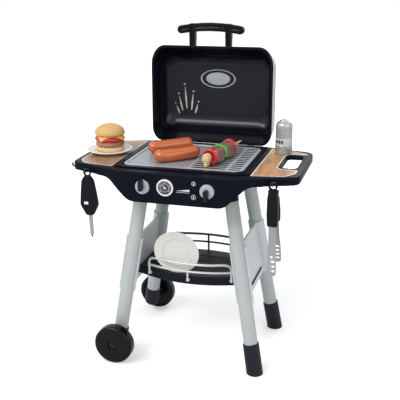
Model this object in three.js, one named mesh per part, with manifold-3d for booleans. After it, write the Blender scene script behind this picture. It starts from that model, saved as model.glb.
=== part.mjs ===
// A toy barbecue grill on splayed legs, with its lid open, its play food and its tools.
// Millimetres, +X to the right, +Y to the back, +Z up. The knobs face -Y and the floor is Z = 0.
import * as THREE from 'three';
import { mergeVertices } from 'three/addons/utils/BufferGeometryUtils.js';
import Module from 'manifold-3d';

const wasm = await Module();
wasm.setup();

// Driving sizes
const deckWidth = 465;
const deckHeight = 426;
const tableThickness = 17;
const deckFrontY = -145;
const deckRearY = 113;
const legSpreadX = 152.9;
const legSpreadY = 106.4;
const legTopX = 91.4;
const legTopY = 73.9;
const legRadius = 14.5;
const wheelRadius = 41.5;
const plateLength = 245;
const plateDepth = 193;
const lidLength = 271;
const lidDepth = 210.6;
const lidRise = 74;
const lidOpenAngle = THREE.MathUtils.degToRad(92.3);
const legTopHeight = deckHeight * 0.892;

// Clearances: between pieces that touch, round a piece that turns, and past a face that is cut through
const seat = 0.3;
const running = 0.35;
const overrun = 2;
const leastRadius = 0.4;

// Roundness: steps on a small fillet, on a large one, round a turned piece and round a thin one
const smallSteps = 2;
const filletSteps = 4;
const turnSteps = 18;
const thinSteps = 10;

const quarterTurn = Math.PI / 2;
const black = { color: 0x1b1c22, roughness: 0.38 };
const darkBoot = { color: 0x26262b, roughness: 0.5 };
const silverGrey = { color: 0xb9bfbe, roughness: 0.42 };
const paleGrey = { color: 0xd3d9d9, roughness: 0.45 };
const satinSteel = { color: 0xa9adae, roughness: 0.35, metalness: 0.6 };

// Shape helpers

function mesh(name, geometry, look) {
  const item = new THREE.Mesh(geometry, new THREE.MeshStandardMaterial(look));
  item.name = name;
  return item;
}

function group(name, position, ...children) {
  const item = new THREE.Group();
  item.name = name;
  item.position.set(...position);
  children.forEach((child) => item.add(child));
  return item;
}

// The corners of the right half, front to back, and their mirror images back to front
function mirrored(corners) {
  return [...corners, ...[...corners].reverse().map(([x, y, radius]) => [-x, y, radius])];
}

// Corners are [x, y, radius], anticlockwise. Each one becomes an arc of the same number of steps.
function rounded(corners, steps = smallSteps) {
  const points = [];
  corners.forEach(([x, y, radius], i) => {
    const corner = new THREE.Vector2(x, y);
    const before = new THREE.Vector2(...corners.at(i - 1)).sub(corner);
    const after = new THREE.Vector2(...corners[(i + 1) % corners.length]).sub(corner);
    const half = Math.abs(before.angleTo(after)) / 2;
    const reach = Math.min(radius / Math.tan(half), before.length() / 2, after.length() / 2);
    if (reach === 0) {
      points.push(corner);
      return;
    }
    const start = before.normalize().multiplyScalar(reach).add(corner);
    const end = after.normalize().multiplyScalar(reach).add(corner);
    const arc = reach * Math.tan(half);
    const middle = start.clone().add(end).sub(corner).sub(corner);
    const centre = middle.normalize().multiplyScalar(arc / Math.sin(half)).add(corner);
    const from = start.clone().sub(centre).angle();
    let sweep = end.clone().sub(centre).angle() - from;
    sweep -= 2 * Math.PI * Math.round(sweep / (2 * Math.PI));
    for (let k = 0; k <= steps; k += 1) {
      const angle = from + (sweep * k) / steps;
      points.push(new THREE.Vector2(centre.x + arc * Math.cos(angle), centre.y + arc * Math.sin(angle)));
    }
  });
  return points;
}

// Moves every side of an anticlockwise outline inward; a corner keeps its centre of rounding
function inset(corners, distance) {
  return corners.map(([x, y, radius], i) => {
    const corner = new THREE.Vector2(x, y);
    const into = corner.clone().sub(new THREE.Vector2(...corners.at(i - 1))).normalize();
    const out = new THREE.Vector2(...corners[(i + 1) % corners.length]).sub(corner).normalize();
    const normals = [new THREE.Vector2(-into.y, into.x), new THREE.Vector2(-out.y, out.x)];
    const shift = normals[0].clone().add(normals[1]).multiplyScalar(distance / (1 + normals[0].dot(normals[1])));
    const turn = Math.sign(into.cross(out));
    const kept = radius > 0 ? Math.max(radius - turn * distance, leastRadius) : 0;
    return [x + shift.x, y + shift.y, kept];
  });
}

function rectangle(halfX, halfY, radius, centreX = 0, centreY = 0) {
  return [
    [centreX + halfX, centreY - halfY, radius],
    [centreX + halfX, centreY + halfY, radius],
    [centreX - halfX, centreY + halfY, radius],
    [centreX - halfX, centreY - halfY, radius],
  ];
}

// A prism between two heights, with its edges broken by a bevel where one is given
function prism(points, low, high, bevel = 0, holes = [], bevelSteps = 1) {
  const shape = new THREE.Shape(points);
  shape.holes = holes.map((hole) => new THREE.Path(hole));
  return new THREE.ExtrudeGeometry(shape, {
    depth: high - low - 2 * bevel,
    bevelEnabled: bevel > 0,
    bevelThickness: bevel,
    bevelSize: bevel,
    bevelOffset: -bevel,
    bevelSegments: bevelSteps,
  }).translate(0, 0, low + bevel);
}

// A prism of an outline drawn in X and Z, from a front plane to a back plane
function upright(points, front, back, bevel = 0, holes = []) {
  return prism(points, -back, -front, bevel, holes).rotateX(quarterTurn);
}

// A prism of an outline drawn in Y and Z, from a left plane to a right plane
function sideways(points, left, right, bevel = 0) {
  return prism(points, left, right, bevel).rotateX(quarterTurn).rotateZ(quarterTurn);
}

// A solid turned about Z from a profile of [radius, height] points that ends on the axis or closes
function turned(profile, steps = turnSteps) {
  const points = profile.map(([radius, height]) => new THREE.Vector2(radius, height));
  return new THREE.LatheGeometry(points, steps).rotateX(quarterTurn);
}

function cylinder(radius, low, high, steps = turnSteps) {
  return turned([[0, low], [radius, low], [radius, high], [0, high]], steps);
}

function box(lows, highs) {
  const size = lows.map((low, i) => highs[i] - low);
  const centre = lows.map((low, i) => (highs[i] + low) / 2);
  return new THREE.BoxGeometry(...size).translate(...centre);
}

// A tube along a curve
function tube(curve, radius, steps, faces = 6) {
  const section = new THREE.Shape();
  for (let i = 0; i < faces; i += 1) {
    const angle = (2 * Math.PI * i) / faces;
    section[i ? 'lineTo' : 'moveTo'](radius * Math.cos(angle), radius * Math.sin(angle));
  }
  return new THREE.ExtrudeGeometry(section, { steps, extrudePath: curve, bevelEnabled: false });
}

// A skin over a stack of rings with equal counts, closed by a fan at its first and its last ring
function skin(rings) {
  const count = rings[0].length;
  const points = rings.flat();
  const index = [];
  for (let r = 0; r + 1 < rings.length; r += 1) {
    for (let i = 0; i < count; i += 1) {
      const a = r * count + i;
      const b = r * count + ((i + 1) % count);
      index.push(a, b, b + count, a, b + count, a + count);
    }
  }
  for (const [ring, flip] of [[0, true], [rings.length - 1, false]]) {
    const middle = new THREE.Vector3();
    rings[ring].forEach((point) => middle.addScaledVector(point, 1 / count));
    const apex = points.push(middle) - 1;
    for (let i = 0; i < count; i += 1) {
      const a = ring * count + i;
      const b = ring * count + ((i + 1) % count);
      index.push(apex, flip ? b : a, flip ? a : b);
    }
  }
  const geometry = new THREE.BufferGeometry().setFromPoints(points);
  geometry.setIndex(index);
  return geometry.toNonIndexed();
}

function level(corners, z, steps = smallSteps) {
  return rounded(corners, steps).map((point) => new THREE.Vector3(point.x, point.y, z));
}

// Joins and cuts

function solid(geometry) {
  const bare = geometry.clone();
  bare.deleteAttribute('normal');
  bare.deleteAttribute('uv');
  const merged = mergeVertices(bare, 1e-4);
  const corners = merged.index.array;
  const kept = [];
  for (let i = 0; i < corners.length; i += 3) {
    const [a, b, c] = corners.slice(i, i + 3);
    if (a !== b && b !== c && c !== a) kept.push(a, b, c);
  }
  return new wasm.Manifold(new wasm.Mesh({
    numProp: 3,
    vertProperties: merged.attributes.position.array,
    triVerts: new Uint32Array(kept),
  }));
}

function surface(body) {
  const { vertProperties, triVerts } = body.getMesh();
  const geometry = new THREE.BufferGeometry();
  geometry.setAttribute('position', new THREE.BufferAttribute(new Float32Array(vertProperties), 3));
  geometry.setIndex(new THREE.BufferAttribute(new Uint32Array(triVerts), 1));
  const flat = geometry.toNonIndexed();
  flat.computeVertexNormals();
  return flat;
}

function join(first, ...others) {
  return surface(others.reduce((body, other) => body.add(solid(other)), solid(first)));
}

function cut(first, ...tools) {
  return surface(tools.reduce((body, tool) => body.subtract(solid(tool)), solid(first)));
}

function common(first, second) {
  return surface(solid(first).intersect(solid(second)));
}

// Legs: two side frames lean inward, and in each of them the front and the back leg lean together.
// Every leg gets a frame with its Z along the leg and its origin on the floor.
const leanX = Math.atan((legSpreadX - legTopX) / legTopHeight);
const leanY = Math.atan(((legSpreadY - legTopY) / legTopHeight) * Math.cos(leanX));
const legSlope = Math.cos(leanX) * Math.cos(leanY);
const sides = { left: -1, right: 1 };
const ends = { front: -1, back: 1 };

function sideFrame(side) {
  const frame = group('', [side * legSpreadX, 0, 0]);
  frame.rotation.y = -side * leanX;
  return frame;
}

function legFrame(end) {
  const frame = group('', [0, end * legSpreadY, 0]);
  frame.rotation.x = end * leanY;
  return frame;
}

function legMatrix(side, end) {
  const frame = sideFrame(side);
  const leg = legFrame(end);
  frame.add(leg);
  frame.updateMatrixWorld(true);
  return leg.matrixWorld;
}

// How far along a leg a height above the floor lies
function alongLeg(height) {
  return height / legSlope;
}

const legWall = 2.7;
const spigotRadius = legRadius - legWall - seat;
const bootTopHeight = 64;
const legEndDrop = 66;
const legEndHeight = deckHeight - legEndDrop;
const spigotLength = 22;

function legTube() {
  const low = alongLeg(bootTopHeight) + seat;
  const high = alongLeg(legEndHeight) - seat;
  const bore = legRadius - legWall;
  return turned([[bore, low], [legRadius, low], [legRadius, high], [bore, high], [bore, low]]);
}

// Deck: one black moulding with two tables, a front apron and an open underside
const deckHalf = deckWidth / 2;
const deckWall = 3;
const deckTopWall = 4.5;
const deckEdge = 2.4;
const apronHalf = 118;
const apronBend = 90;
const tableFrontY = -103;
const tableFrontCorner = 20;
const tableRearY = 88;
const tableRearCorner = 28;
const openingMarginX = 9;
const openingHalfX = plateLength / 2 + openingMarginX;
const tableWide = deckHalf - openingHalfX;
const rearBendX = deckHalf - tableWide * 0.42;
const rearBendY = 93;
const rearHalf = 122;
const rearBend = 60;
const deckOutline = mirrored([
  [apronHalf, deckFrontY, apronBend],
  [deckHalf, tableFrontY, tableFrontCorner],
  [deckHalf, tableRearY, tableRearCorner],
  [rearBendX, rearBendY, rearBend],
  [rearHalf, deckRearY, rearBend],
]);

// The apron hangs from the front edge with a smile-shaped lower line
const apronDrop = 61;
const apronDepth = 27;
const apronFlatHalf = 96;
const apronSlopeHalf = 141;
const apronShoulderHalf = 168;
const apronRadius = 30;
const tableUnder = deckHeight - tableThickness;
const apronBottom = deckHeight - apronDrop;
const apronRoof = deckHeight - deckTopWall;
const apronOutline = mirrored([
  [apronFlatHalf, apronBottom, apronRadius],
  [apronSlopeHalf, tableUnder, apronRadius],
  [apronShoulderHalf, tableUnder, 0],
  [apronShoulderHalf, apronRoof, 0],
]);

// Opening for the burner box, and the table panels let into the top
const openingMarginY = 7.5;
const openingHalfY = plateDepth / 2 + openingMarginY;
const openingRadius = 15;
const panelDepth = 2.3;
const flangeFront = 6.5;
const flangeRear = 4;
const panelGap = 3;
const panelInnerX = openingHalfX + flangeFront + panelGap;
const panelFrontY = -117;
const panelRearY = 95;

// The grip at the right end: a slot through the table, with sloping sides at its left and rear
const gripSlot = { left: deckHalf - tableWide * 0.41, right: deckHalf - tableWide * 0.16, front: -48, rear: 47, radius: 9 };
const gripDish = { left: deckHalf - tableWide * 0.55, right: deckHalf - tableWide * 0.145, front: -52, rear: 54, radius: 14 };
const gripSolidMargin = 6;
const gripSolidX = gripDish.left - gripSolidMargin;
const gripDishDrop = 15;
const gripDishFloor = deckHeight - gripDishDrop;

const panelFrontBend = { x: deckHalf - tableWide * 0.26, y: -106, radius: 20 };
const panelRearBend = { x: deckHalf - tableWide * 0.48, y: 87, radius: 30 };
const panelEnd = { x: deckHalf - tableWide * 0.105, front: -82, rear: 67, radius: 8 };
const panelNotch = { margin: 5, radius: 16 };
const panelCorner = 3;

function rightPanel(margin) {
  const notchX = gripDish.left - panelNotch.margin;
  const notchFront = gripDish.front - panelNotch.margin;
  const notchRear = gripDish.rear + panelNotch.margin;
  const corners = [
    [panelInnerX, panelFrontY, panelCorner],
    [panelFrontBend.x, panelFrontBend.y, panelFrontBend.radius],
    [panelEnd.x, panelEnd.front, panelEnd.radius],
    [panelEnd.x, notchFront, panelCorner],
    [notchX, notchFront, panelNotch.radius],
    [notchX, notchRear, panelNotch.radius],
    [panelEnd.x, notchRear, panelCorner],
    [panelEnd.x, panelEnd.rear, panelCorner],
    [panelRearBend.x, panelRearBend.y, panelRearBend.radius],
    [panelInnerX, panelRearY, panelCorner],
  ];
  return rounded(inset(corners, -margin), filletSteps);
}

function leftPanel(margin) {
  const corners = [
    [-panelInnerX, panelRearY, panelCorner],
    [-panelRearBend.x, panelRearBend.y, panelRearBend.radius],
    [-panelEnd.x, panelEnd.rear, panelEnd.radius],
    [-panelEnd.x, panelEnd.front, panelEnd.radius],
    [-panelFrontBend.x, panelFrontBend.y, panelFrontBend.radius],
    [-panelInnerX, panelFrontY, panelCorner],
  ];
  return rounded(inset(corners, -margin), filletSteps);
}

// Hinge: the deck has two slots at its rear edge, and the lid's lugs turn in them on stub pins
const hingeX = 88;
const hingeY = 101.5;
const hingeDrop = 4.2;
const hingeZ = deckHeight - hingeDrop;
const lugRadius = 4.5;
const lugWidth = 13;
const pinRadius = 2.2;
const pinReach = 5;
const hingeCheek = 8;

function hingeSlots() {
  const tools = [];
  for (const side of Object.values(sides)) {
    const half = lugWidth / 2 + running;
    tools.push(box(
      [side * hingeX - half, hingeY - lugRadius - running, hingeZ - lugRadius - running],
      [side * hingeX + half, deckRearY + overrun, deckHeight + overrun],
    ));
    const hole = lugWidth / 2 + pinReach + running;
    tools.push(cylinder(pinRadius + running, -hole, hole, thinSteps)
      .rotateY(quarterTurn).translate(side * hingeX, hingeY, hingeZ));
  }
  return tools;
}

function hingeCheeks() {
  return Object.values(sides).map((side) => box(
    [side * hingeX - lugWidth / 2 - hingeCheek, hingeY - lugRadius - deckWall / 2, tableUnder + deckWall],
    [side * hingeX + lugWidth / 2 + hingeCheek, deckRearY - deckWall / 2, apronRoof + deckWall / 2],
  ));
}

// Knobs and dial on the apron
const knobX = 65;
const knobDrop = 28.5;
const knobZ = deckHeight - knobDrop;
const knobShaft = 4;
const dialX = -19;
const dialDrop = 27;
const dialZ = deckHeight - dialDrop;

function deckShell() {
  const plan = rounded(deckOutline, filletSteps);
  const top = prism(plan, tableUnder, deckHeight, deckEdge, [], smallSteps);
  const apronBack = deckFrontY + apronDepth;
  const apron = common(
    upright(rounded(apronOutline, filletSteps), deckFrontY - overrun, apronBack),
    prism(plan, apronBottom - overrun, deckHeight - deckEdge),
  );
  const innerPlan = rounded(inset(deckOutline, deckWall), filletSteps);
  const gripZone = box(
    [gripSolidX, deckFrontY, tableUnder - 2 * overrun],
    [deckHalf, deckRearY, deckHeight],
  );
  const hollow = cut(prism(innerPlan, tableUnder - overrun, apronRoof), gripZone);
  const apronHollow = common(
    upright(rounded(inset(apronOutline, deckWall), filletSteps), deckFrontY, apronBack + overrun),
    prism(innerPlan, apronBottom - overrun, apronRoof),
  );
  const opening = prism(
    rounded(rectangle(openingHalfX, openingHalfY, openingRadius, 0, plateY)),
    tableUnder, deckHeight + overrun,
  );
  const dishTop = deckHeight + overrun;
  const dishSlope = (dishTop - gripDishFloor) / (deckHeight - gripDishFloor);
  const dishAt = (share) => ['left', 'right', 'front', 'rear', 'radius']
    .map((name) => THREE.MathUtils.lerp(gripSlot[name], gripDish[name], share));
  const dishRing = (share, z) => {
    const [left, right, front, rear, radius] = dishAt(share);
    const middle = [(left + right) / 2, (front + rear) / 2];
    return level(rectangle((right - left) / 2, (rear - front) / 2, radius, ...middle), z);
  };
  const grip = skin([
    dishRing(0, tableUnder - overrun),
    dishRing(0, gripDishFloor),
    dishRing(dishSlope, dishTop),
  ]);
  const panelFloor = deckHeight - panelDepth;
  const ribs = Object.values(sides).flatMap((side) => [-0.55, 0.5].map((share) => {
    const y = share * tableRearY;
    const span = side > 0 ? gripSolidX : deckHalf;
    const [low, high] = [side * openingHalfX, side * (span - deckWall / 2)].sort((a, b) => a - b);
    return box([low, y - deckWall / 2, tableUnder + deckWall], [high, y + deckWall / 2, apronRoof + deckWall / 2]);
  }));
  const knobHoles = [-knobX, knobX].map((x) => cylinder(knobShaft + running, -deckWall * 2, deckWall * 2)
    .rotateX(quarterTurn).translate(x, deckFrontY, knobZ));
  return cut(
    join(cut(join(top, apron), hollow, apronHollow), ...ribs, ...hingeCheeks()),
    opening,
    grip,
    prism(rightPanel(seat), panelFloor, deckHeight + overrun),
    prism(leftPanel(seat), panelFloor, deckHeight + overrun),
    ...hingeSlots(),
    ...knobHoles,
    hookHole().translate(-frontHookX, frontEdgeY(frontHookX), frontHookZ),
    hookHole().translate(frontHookX, frontEdgeY(frontHookX), frontHookZ),
    hookHole().rotateZ(-quarterTurn).translate(-deckHalf, endHook.y, endHookZ),
  );
}

// Burner box: a black basin let into the deck, with a ledge for the cooking plate and the leg sockets
const plateY = -12;
const boxRise = 3.5;
const boxTop = deckHeight + boxRise;
const boxFloorDrop = 35;
const boxFloor = deckHeight - boxFloorDrop;
const boxWall = 2.5;
const boxEdge = 1;
const plateGap = 1.5;
const ledgeDrop = 7;
const ledgeWidth = 4;
const socketLip = 0.8;
const socketRise = 2;

function burnerBox() {
  const outer = rectangle(openingHalfX - seat, openingHalfY - seat, openingRadius, 0, plateY);
  const flangeHalfY = openingHalfY + (flangeFront + flangeRear) / 2;
  const flangeY = plateY - (flangeFront - flangeRear) / 2;
  const flange = rectangle(openingHalfX + flangeFront, flangeHalfY, openingRadius + flangeRear, 0, flangeY);
  const mouth = rectangle(plateLength / 2 + plateGap, plateDepth / 2 + plateGap, openingRadius, 0, plateY);
  const well = inset(mouth, ledgeWidth);
  const wellOuter = inset(well, -boxWall);
  const ledge = boxTop - ledgeDrop;
  const basin = skin([
    level(wellOuter, boxFloor - boxWall),
    level(wellOuter, ledge - boxWall),
    level(outer, ledge - boxWall),
    level(outer, deckHeight + seat),
    level(flange, deckHeight + seat),
    level(flange, boxTop - boxEdge),
    level(inset(flange, boxEdge), boxTop),
    level(inset(mouth, -boxEdge), boxTop),
    level(mouth, boxTop - boxEdge),
    level(mouth, ledge),
    level(well, ledge),
    level(well, boxFloor),
  ]);
  const foot = alongLeg(legEndHeight);
  const head = alongLeg(boxFloor + socketRise);
  const post = turned([
    [0, foot - spigotLength],
    [spigotRadius - boxEdge, foot - spigotLength],
    [spigotRadius, foot - spigotLength + boxEdge],
    [spigotRadius, foot],
    [legRadius + socketLip, foot],
    [legRadius + socketLip, head],
    [0, head],
  ], thinSteps);
  const posts = Object.values(sides).flatMap((side) => Object.values(ends).map(
    (end) => post.clone().applyMatrix4(legMatrix(side, end)),
  ));
  return join(basin, ...posts);
}

// Cooking plate: a smooth griddle on the left and a grate of slots on the right
const plateThickness = 6;
const plateTop = boxTop - ledgeDrop + seat + plateThickness;
const plateRadius = 14;
const plateBevel = 0.8;
const griddleDepth = 1.6;
const griddleRim = 5;
const grateStartX = 17;
const grateRibX = 90;
const ribHalf = 3.5;
const slotPitch = 13.6;
const slotWidth = 6.2;
const slotEndMargin = 7;

function cookingPlate() {
  const outline = rectangle(plateLength / 2, plateDepth / 2, plateRadius, 0, plateY);
  const bays = [
    [grateStartX + ribHalf, grateRibX - ribHalf],
    [grateRibX + ribHalf, plateLength / 2 - slotEndMargin],
  ];
  const rows = Math.floor((plateDepth - 2 * slotEndMargin) / slotPitch);
  const slots = [];
  for (let row = 0; row < rows; row += 1) {
    const y = plateY + (row - (rows - 1) / 2) * slotPitch;
    for (const [low, high] of bays) {
      const slot = rectangle((high - low) / 2, slotWidth / 2, slotWidth / 2, (low + high) / 2, y);
      slots.push(prism(rounded(slot, 1), plateTop - plateThickness - overrun, plateTop + overrun));
    }
  }
  const plate = prism(rounded(outline, filletSteps), plateTop - plateThickness, plateTop, plateBevel);
  const left = griddleRim - plateLength / 2;
  const right = grateStartX - ribHalf / 2;
  const griddleHalfY = plateDepth / 2 - griddleRim;
  const griddle = rectangle((right - left) / 2, griddleHalfY, plateRadius - griddleRim, (left + right) / 2, plateY);
  return cut(plate, ...slots, prism(rounded(griddle), plateTop - griddleDepth, plateTop + overrun));
}

// Lid: built closed, from its hinge axis, then turned open. A silver shell covers a black liner,
// whose flange forms the rim.
const rimBackGap = 5;
const rimRise = boxTop + seat - hingeZ;
const lidCorner = { front: 27, rear: 21 };
const lidStraight = 32;
const lidInsetX = 30;
const lidInsetY = 43;
const shellWall = 2.5;
const linerWall = 2;
const rimFlange = 2.2;
const rimEdge = 0.6;
const lidTop = rimRise + lidRise;
const lidFront = -rimBackGap - lidDepth;
const lidCentreY = lidFront + lidDepth / 2;

function lidRing(offset, inX, inY, z) {
  const halfX = lidLength / 2 - offset - inX;
  const halfY = lidDepth / 2 - offset - inY;
  const corners = mirrored([
    [halfX, lidCentreY - halfY, lidCorner.front - offset],
    [halfX, lidCentreY + halfY, lidCorner.rear - offset],
  ]);
  return level(corners, z, filletSteps);
}

// Rings of the dome inside an offset: a straight band, then an elliptical shoulder to the flat top
function domeRings(offset, start) {
  const rings = [lidRing(offset, 0, 0, start)];
  const shoulder = rimRise + lidStraight;
  for (let k = 0; k <= filletSteps; k += 1) {
    const angle = (quarterTurn * k) / filletSteps;
    const share = 1 - Math.cos(angle);
    const z = shoulder + (lidTop - offset - shoulder) * Math.sin(angle);
    rings.push(lidRing(offset, lidInsetX * share, lidInsetY * share, z));
  }
  return rings;
}

// A hinge lug hangs from the back of the shell, with a stub pin at each side of its knuckle
const lugRise = 13;

function lidShell() {
  const start = rimRise + rimFlange + seat;
  const lugs = Object.values(sides).flatMap((side) => {
    const reach = lugWidth / 2 + pinReach;
    return [
      box([-lugWidth / 2, seat - rimBackGap, 0], [lugWidth / 2, -seat, start + lugRise]),
      box([-lugWidth / 2, -rimBackGap - shellWall / 2, start + boxEdge], [lugWidth / 2, -seat, start + lugRise]),
      cylinder(lugRadius, -lugWidth / 2, lugWidth / 2, thinSteps).rotateY(quarterTurn),
      cylinder(pinRadius, -reach, reach, thinSteps).rotateY(quarterTurn),
    ].map((piece) => piece.translate(side * hingeX, 0, 0));
  });
  return join(skin([...domeRings(shellWall, start).reverse(), ...domeRings(0, start)]), ...lugs);
}

function lidLiner() {
  const outside = shellWall + seat;
  const start = rimRise + rimFlange;
  return skin([
    ...domeRings(outside + linerWall, rimRise).reverse(),
    lidRing(rimEdge, 0, 0, rimRise),
    lidRing(0, 0, 0, rimRise + rimEdge),
    lidRing(0, 0, 0, start),
    ...domeRings(outside, start),
  ]);
}

// A bare oval badge on the inside of the liner
const badge = { halfX: 40.6, halfY: 20.7, innerX: 28, innerY: 13.5, x: -2, rise: 28, base: 1.6, field: 1.1 };
badge.bevel = badge.field / 2;

function ellipse(halfX, halfY, steps = turnSteps) {
  return new THREE.EllipseCurve(0, 0, halfX, halfY).getPoints(steps).slice(1);
}

function lidBadge() {
  const ceiling = lidTop - shellWall - seat - linerWall - seat;
  const base = ceiling - badge.base;
  return join(
    prism(ellipse(badge.halfX, badge.halfY), base, ceiling, badge.bevel),
    prism(ellipse(badge.innerX, badge.innerY), base - badge.field, base + badge.bevel),
  ).translate(badge.x, lidCentreY - badge.rise, 0);
}

// Handle: an arched bar held by two brackets on the front of the lid
const handle = { half: 74, thick: 17.5, deep: 15, reach: 33, arch: 6, up: 16, edge: 3 };
const bracket = { x: 40, width: 13, deep: 16.5, over: 0.5 };

function archAt({ half, thick, arch }, x) {
  return arch * (1 - (x / (half - thick / 2)) ** 2);
}

function archedBar({ half, thick, arch }, steps = 6) {
  const radius = thick / 2;
  const straight = half - radius;
  const points = [];
  const edge = (k, rise) => {
    const x = straight * ((2 * k) / steps - 1);
    points.push(new THREE.Vector2(x, rise - archAt({ half, thick, arch }, x)));
  };
  const cap = (x, start) => {
    for (let k = 1; k < steps; k += 1) {
      const angle = start + (Math.PI * k) / steps;
      points.push(new THREE.Vector2(x + radius * Math.cos(angle), radius * Math.sin(angle)));
    }
  };
  for (let k = 0; k <= steps; k += 1) edge(k, -radius);
  cap(straight, -quarterTurn);
  for (let k = steps; k >= 0; k -= 1) edge(k, radius);
  cap(-straight, quarterTurn);
  return points;
}

function lidHandle() {
  const bar = prism(archedBar(handle), -handle.deep / 2, handle.deep / 2, handle.edge)
    .translate(0, -handle.reach, 0);
  const length = handle.reach + archAt(handle, bracket.x) + handle.thick / 2 + bracket.over;
  const outline = rectangle(bracket.width / 2, (length - seat) / 2, handle.edge, 0, -(length + seat) / 2);
  const posts = Object.values(sides).map((side) => prism(
    rounded(outline), -bracket.deep / 2, bracket.deep / 2, handle.edge / 2,
  ).translate(side * bracket.x, 0, 0));
  return join(bar, ...posts).translate(0, lidFront, rimRise + handle.up);
}

// Feet of the right legs, and on the left legs the boots that carry the wheels
const boot = { foot: 17, top: 16.7, edge: 1, end: 22, round: 9, boss: 9, bore: 4.3, axleX: -144.5 };
const bootTop = alongLeg(bootTopHeight);

function bootHead() {
  return [
    [boot.top, bootTop - boot.edge],
    [boot.top - boot.edge, bootTop],
    [spigotRadius, bootTop],
    [spigotRadius, bootTop + spigotLength - boot.edge],
    [spigotRadius - boot.edge, bootTop + spigotLength],
    [0, bootTop + spigotLength],
  ];
}

function foot(end) {
  const piece = turned([[0, -boot.foot / 2], [boot.foot, -boot.foot / 2], ...bootHead()]);
  const ground = box([-deckWidth, -deckWidth, -deckWidth], [deckWidth, deckWidth, 0]);
  return cut(piece.applyMatrix4(legMatrix(sides.right, end)), ground);
}

// Wheel: a domed disc with a hub recess outside and a ring recess inside, on a pin with a slotted head
const wheel = { width: 24, innerFace: 127.5, bore: 4.4, hub: 9.6, hubDepth: 4.2, dome: 1.4, shoulder: 5 };
const wheelRing = { inner: 13, outer: 31, depth: 3 };
const pin = { shaft: 4, head: 8.6, headDome: 3, slot: 2, slotDepth: 1.6, depth: 20 };

// Turns a solid with its axis along Z so that it points outward at the front or at the back
function outward(geometry, end) {
  return geometry.rotateX(-end * quarterTurn);
}

function wheelDisc(end) {
  const { width, shoulder } = wheel;
  const corner = [1, 2].map((k) => {
    const angle = (quarterTurn * k) / 3;
    return [wheelRadius - shoulder * (1 - Math.cos(angle)), width - shoulder * (1 - Math.sin(angle)) - wheel.dome];
  });
  return outward(turned([
    [wheel.bore, 0],
    [wheelRing.inner - wheel.dome, 0],
    [wheelRing.inner, wheelRing.depth],
    [wheelRing.outer, wheelRing.depth],
    [wheelRing.outer + wheel.dome, 0],
    [wheelRadius - shoulder / 2, 0],
    [wheelRadius, shoulder / 2],
    [wheelRadius, width - shoulder - wheel.dome],
    ...corner,
    [wheelRadius - shoulder, width - wheel.dome],
    [wheel.hub + wheel.dome, width],
    [wheel.hub, width - wheel.dome / 2],
    [wheel.hub, width - wheel.hubDepth],
    [wheel.bore, width - wheel.hubDepth],
    [wheel.bore, 0],
  ], 24), end);
}

function axlePin(end) {
  const seatHeight = wheel.width - wheel.hubDepth + running;
  const headTop = seatHeight + pin.headDome;
  const body = turned([
    [0, -pin.depth],
    [pin.shaft, -pin.depth],
    [pin.shaft, seatHeight],
    [pin.head, seatHeight],
    [pin.head, seatHeight + pin.headDome / 2],
    [pin.head * 0.8, headTop - pin.headDome / 6],
    [0, headTop],
  ], thinSteps);
  const slot = box(
    [-pin.slot / 2, -pin.head, headTop - pin.slotDepth],
    [pin.slot / 2, pin.head, headTop + overrun],
  );
  return outward(cut(body, slot), end);
}

function axleBoot(end) {
  const low = alongLeg(boot.end);
  const { round } = boot;
  const curve = [0, 1, 2].map((k) => {
    const angle = (quarterTurn * k) / 3;
    return [boot.foot - round * (1 - Math.sin(angle)), low + round * (1 - Math.cos(angle))];
  });
  const sleeve = turned([[0, low], ...curve, [boot.foot, low + round], ...bootHead()])
    .applyMatrix4(legMatrix(sides.left, end));
  const face = wheel.innerFace - running;
  const boss = outward(cylinder(boot.boss, legSpreadY - boot.foot / 2, face, thinSteps), end);
  const bore = outward(cylinder(boot.bore, wheel.innerFace - pin.depth - seat, face + overrun, thinSteps), end);
  boss.translate(boot.axleX, 0, wheelRadius);
  bore.translate(boot.axleX, 0, wheelRadius);
  return cut(join(sleeve, boss), bore);
}

// Side panels lie in the plane of the legs and clip round them. A slot takes the end of the shelf.
const shelfTop = deckHeight * 0.432;
const shelfDeep = 19;
const shelfHalf = 118.5;
const shelfWall = 2.6;
const tab = { thick: 3, reach: 131.5, front: -37, back: 52 };
const panel = { tip: 6, thick: 6, clip: 3, grip: 3, round: 18, slotHalf: 69 };
panel.low = deckHeight * 0.352;
panel.high = deckHeight * 0.615;

function sideMatrix(side) {
  const frame = sideFrame(side);
  frame.updateMatrixWorld(true);
  return frame.matrixWorld;
}

function sidePanel(side) {
  const low = panel.low / Math.cos(leanX);
  const high = panel.high / Math.cos(leanX);
  const tip = high + panel.tip;
  const legAt = (z) => legSpreadY - Math.tan(leanY) * z;
  const outline = mirrored([
    [legAt(low), low, 0],
    [legAt(tip), tip, 0],
    [legAt(tip) - legRadius - panel.round, high, panel.round],
  ]);
  const web = sideways(rounded(outline), -panel.thick / 2, panel.thick / 2, panel.thick / 8);
  const inner = legRadius + seat;
  const outer = inner + panel.clip;
  const clips = [];
  const legs = [];
  for (const end of Object.values(ends)) {
    const frame = legFrame(end);
    frame.updateMatrixWorld(true);
    const ring = cylinder(outer, low, tip);
    const beyond = [end * panel.grip, end * 2 * outer].sort((a, b) => a - b);
    const open = box([-2 * outer, beyond[0], low - overrun], [2 * outer, beyond[1], tip + overrun]);
    clips.push(cut(ring, open).applyMatrix4(frame.matrixWorld));
    legs.push(cylinder(inner, low - 2 * outer, tip + 2 * outer).applyMatrix4(frame.matrixWorld));
  }
  const reach = [side * legSpreadX * 0.5, side * legSpreadX].sort((a, b) => a - b);
  const slotLow = shelfTop - shelfDeep - seat;
  const slot = box(
    [reach[0], -panel.slotHalf, slotLow],
    [reach[1], panel.slotHalf, slotLow + tab.thick + 2 * seat],
  ).applyMatrix4(sideMatrix(side).clone().invert());
  return cut(join(web, ...clips), ...legs, slot);
}

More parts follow.
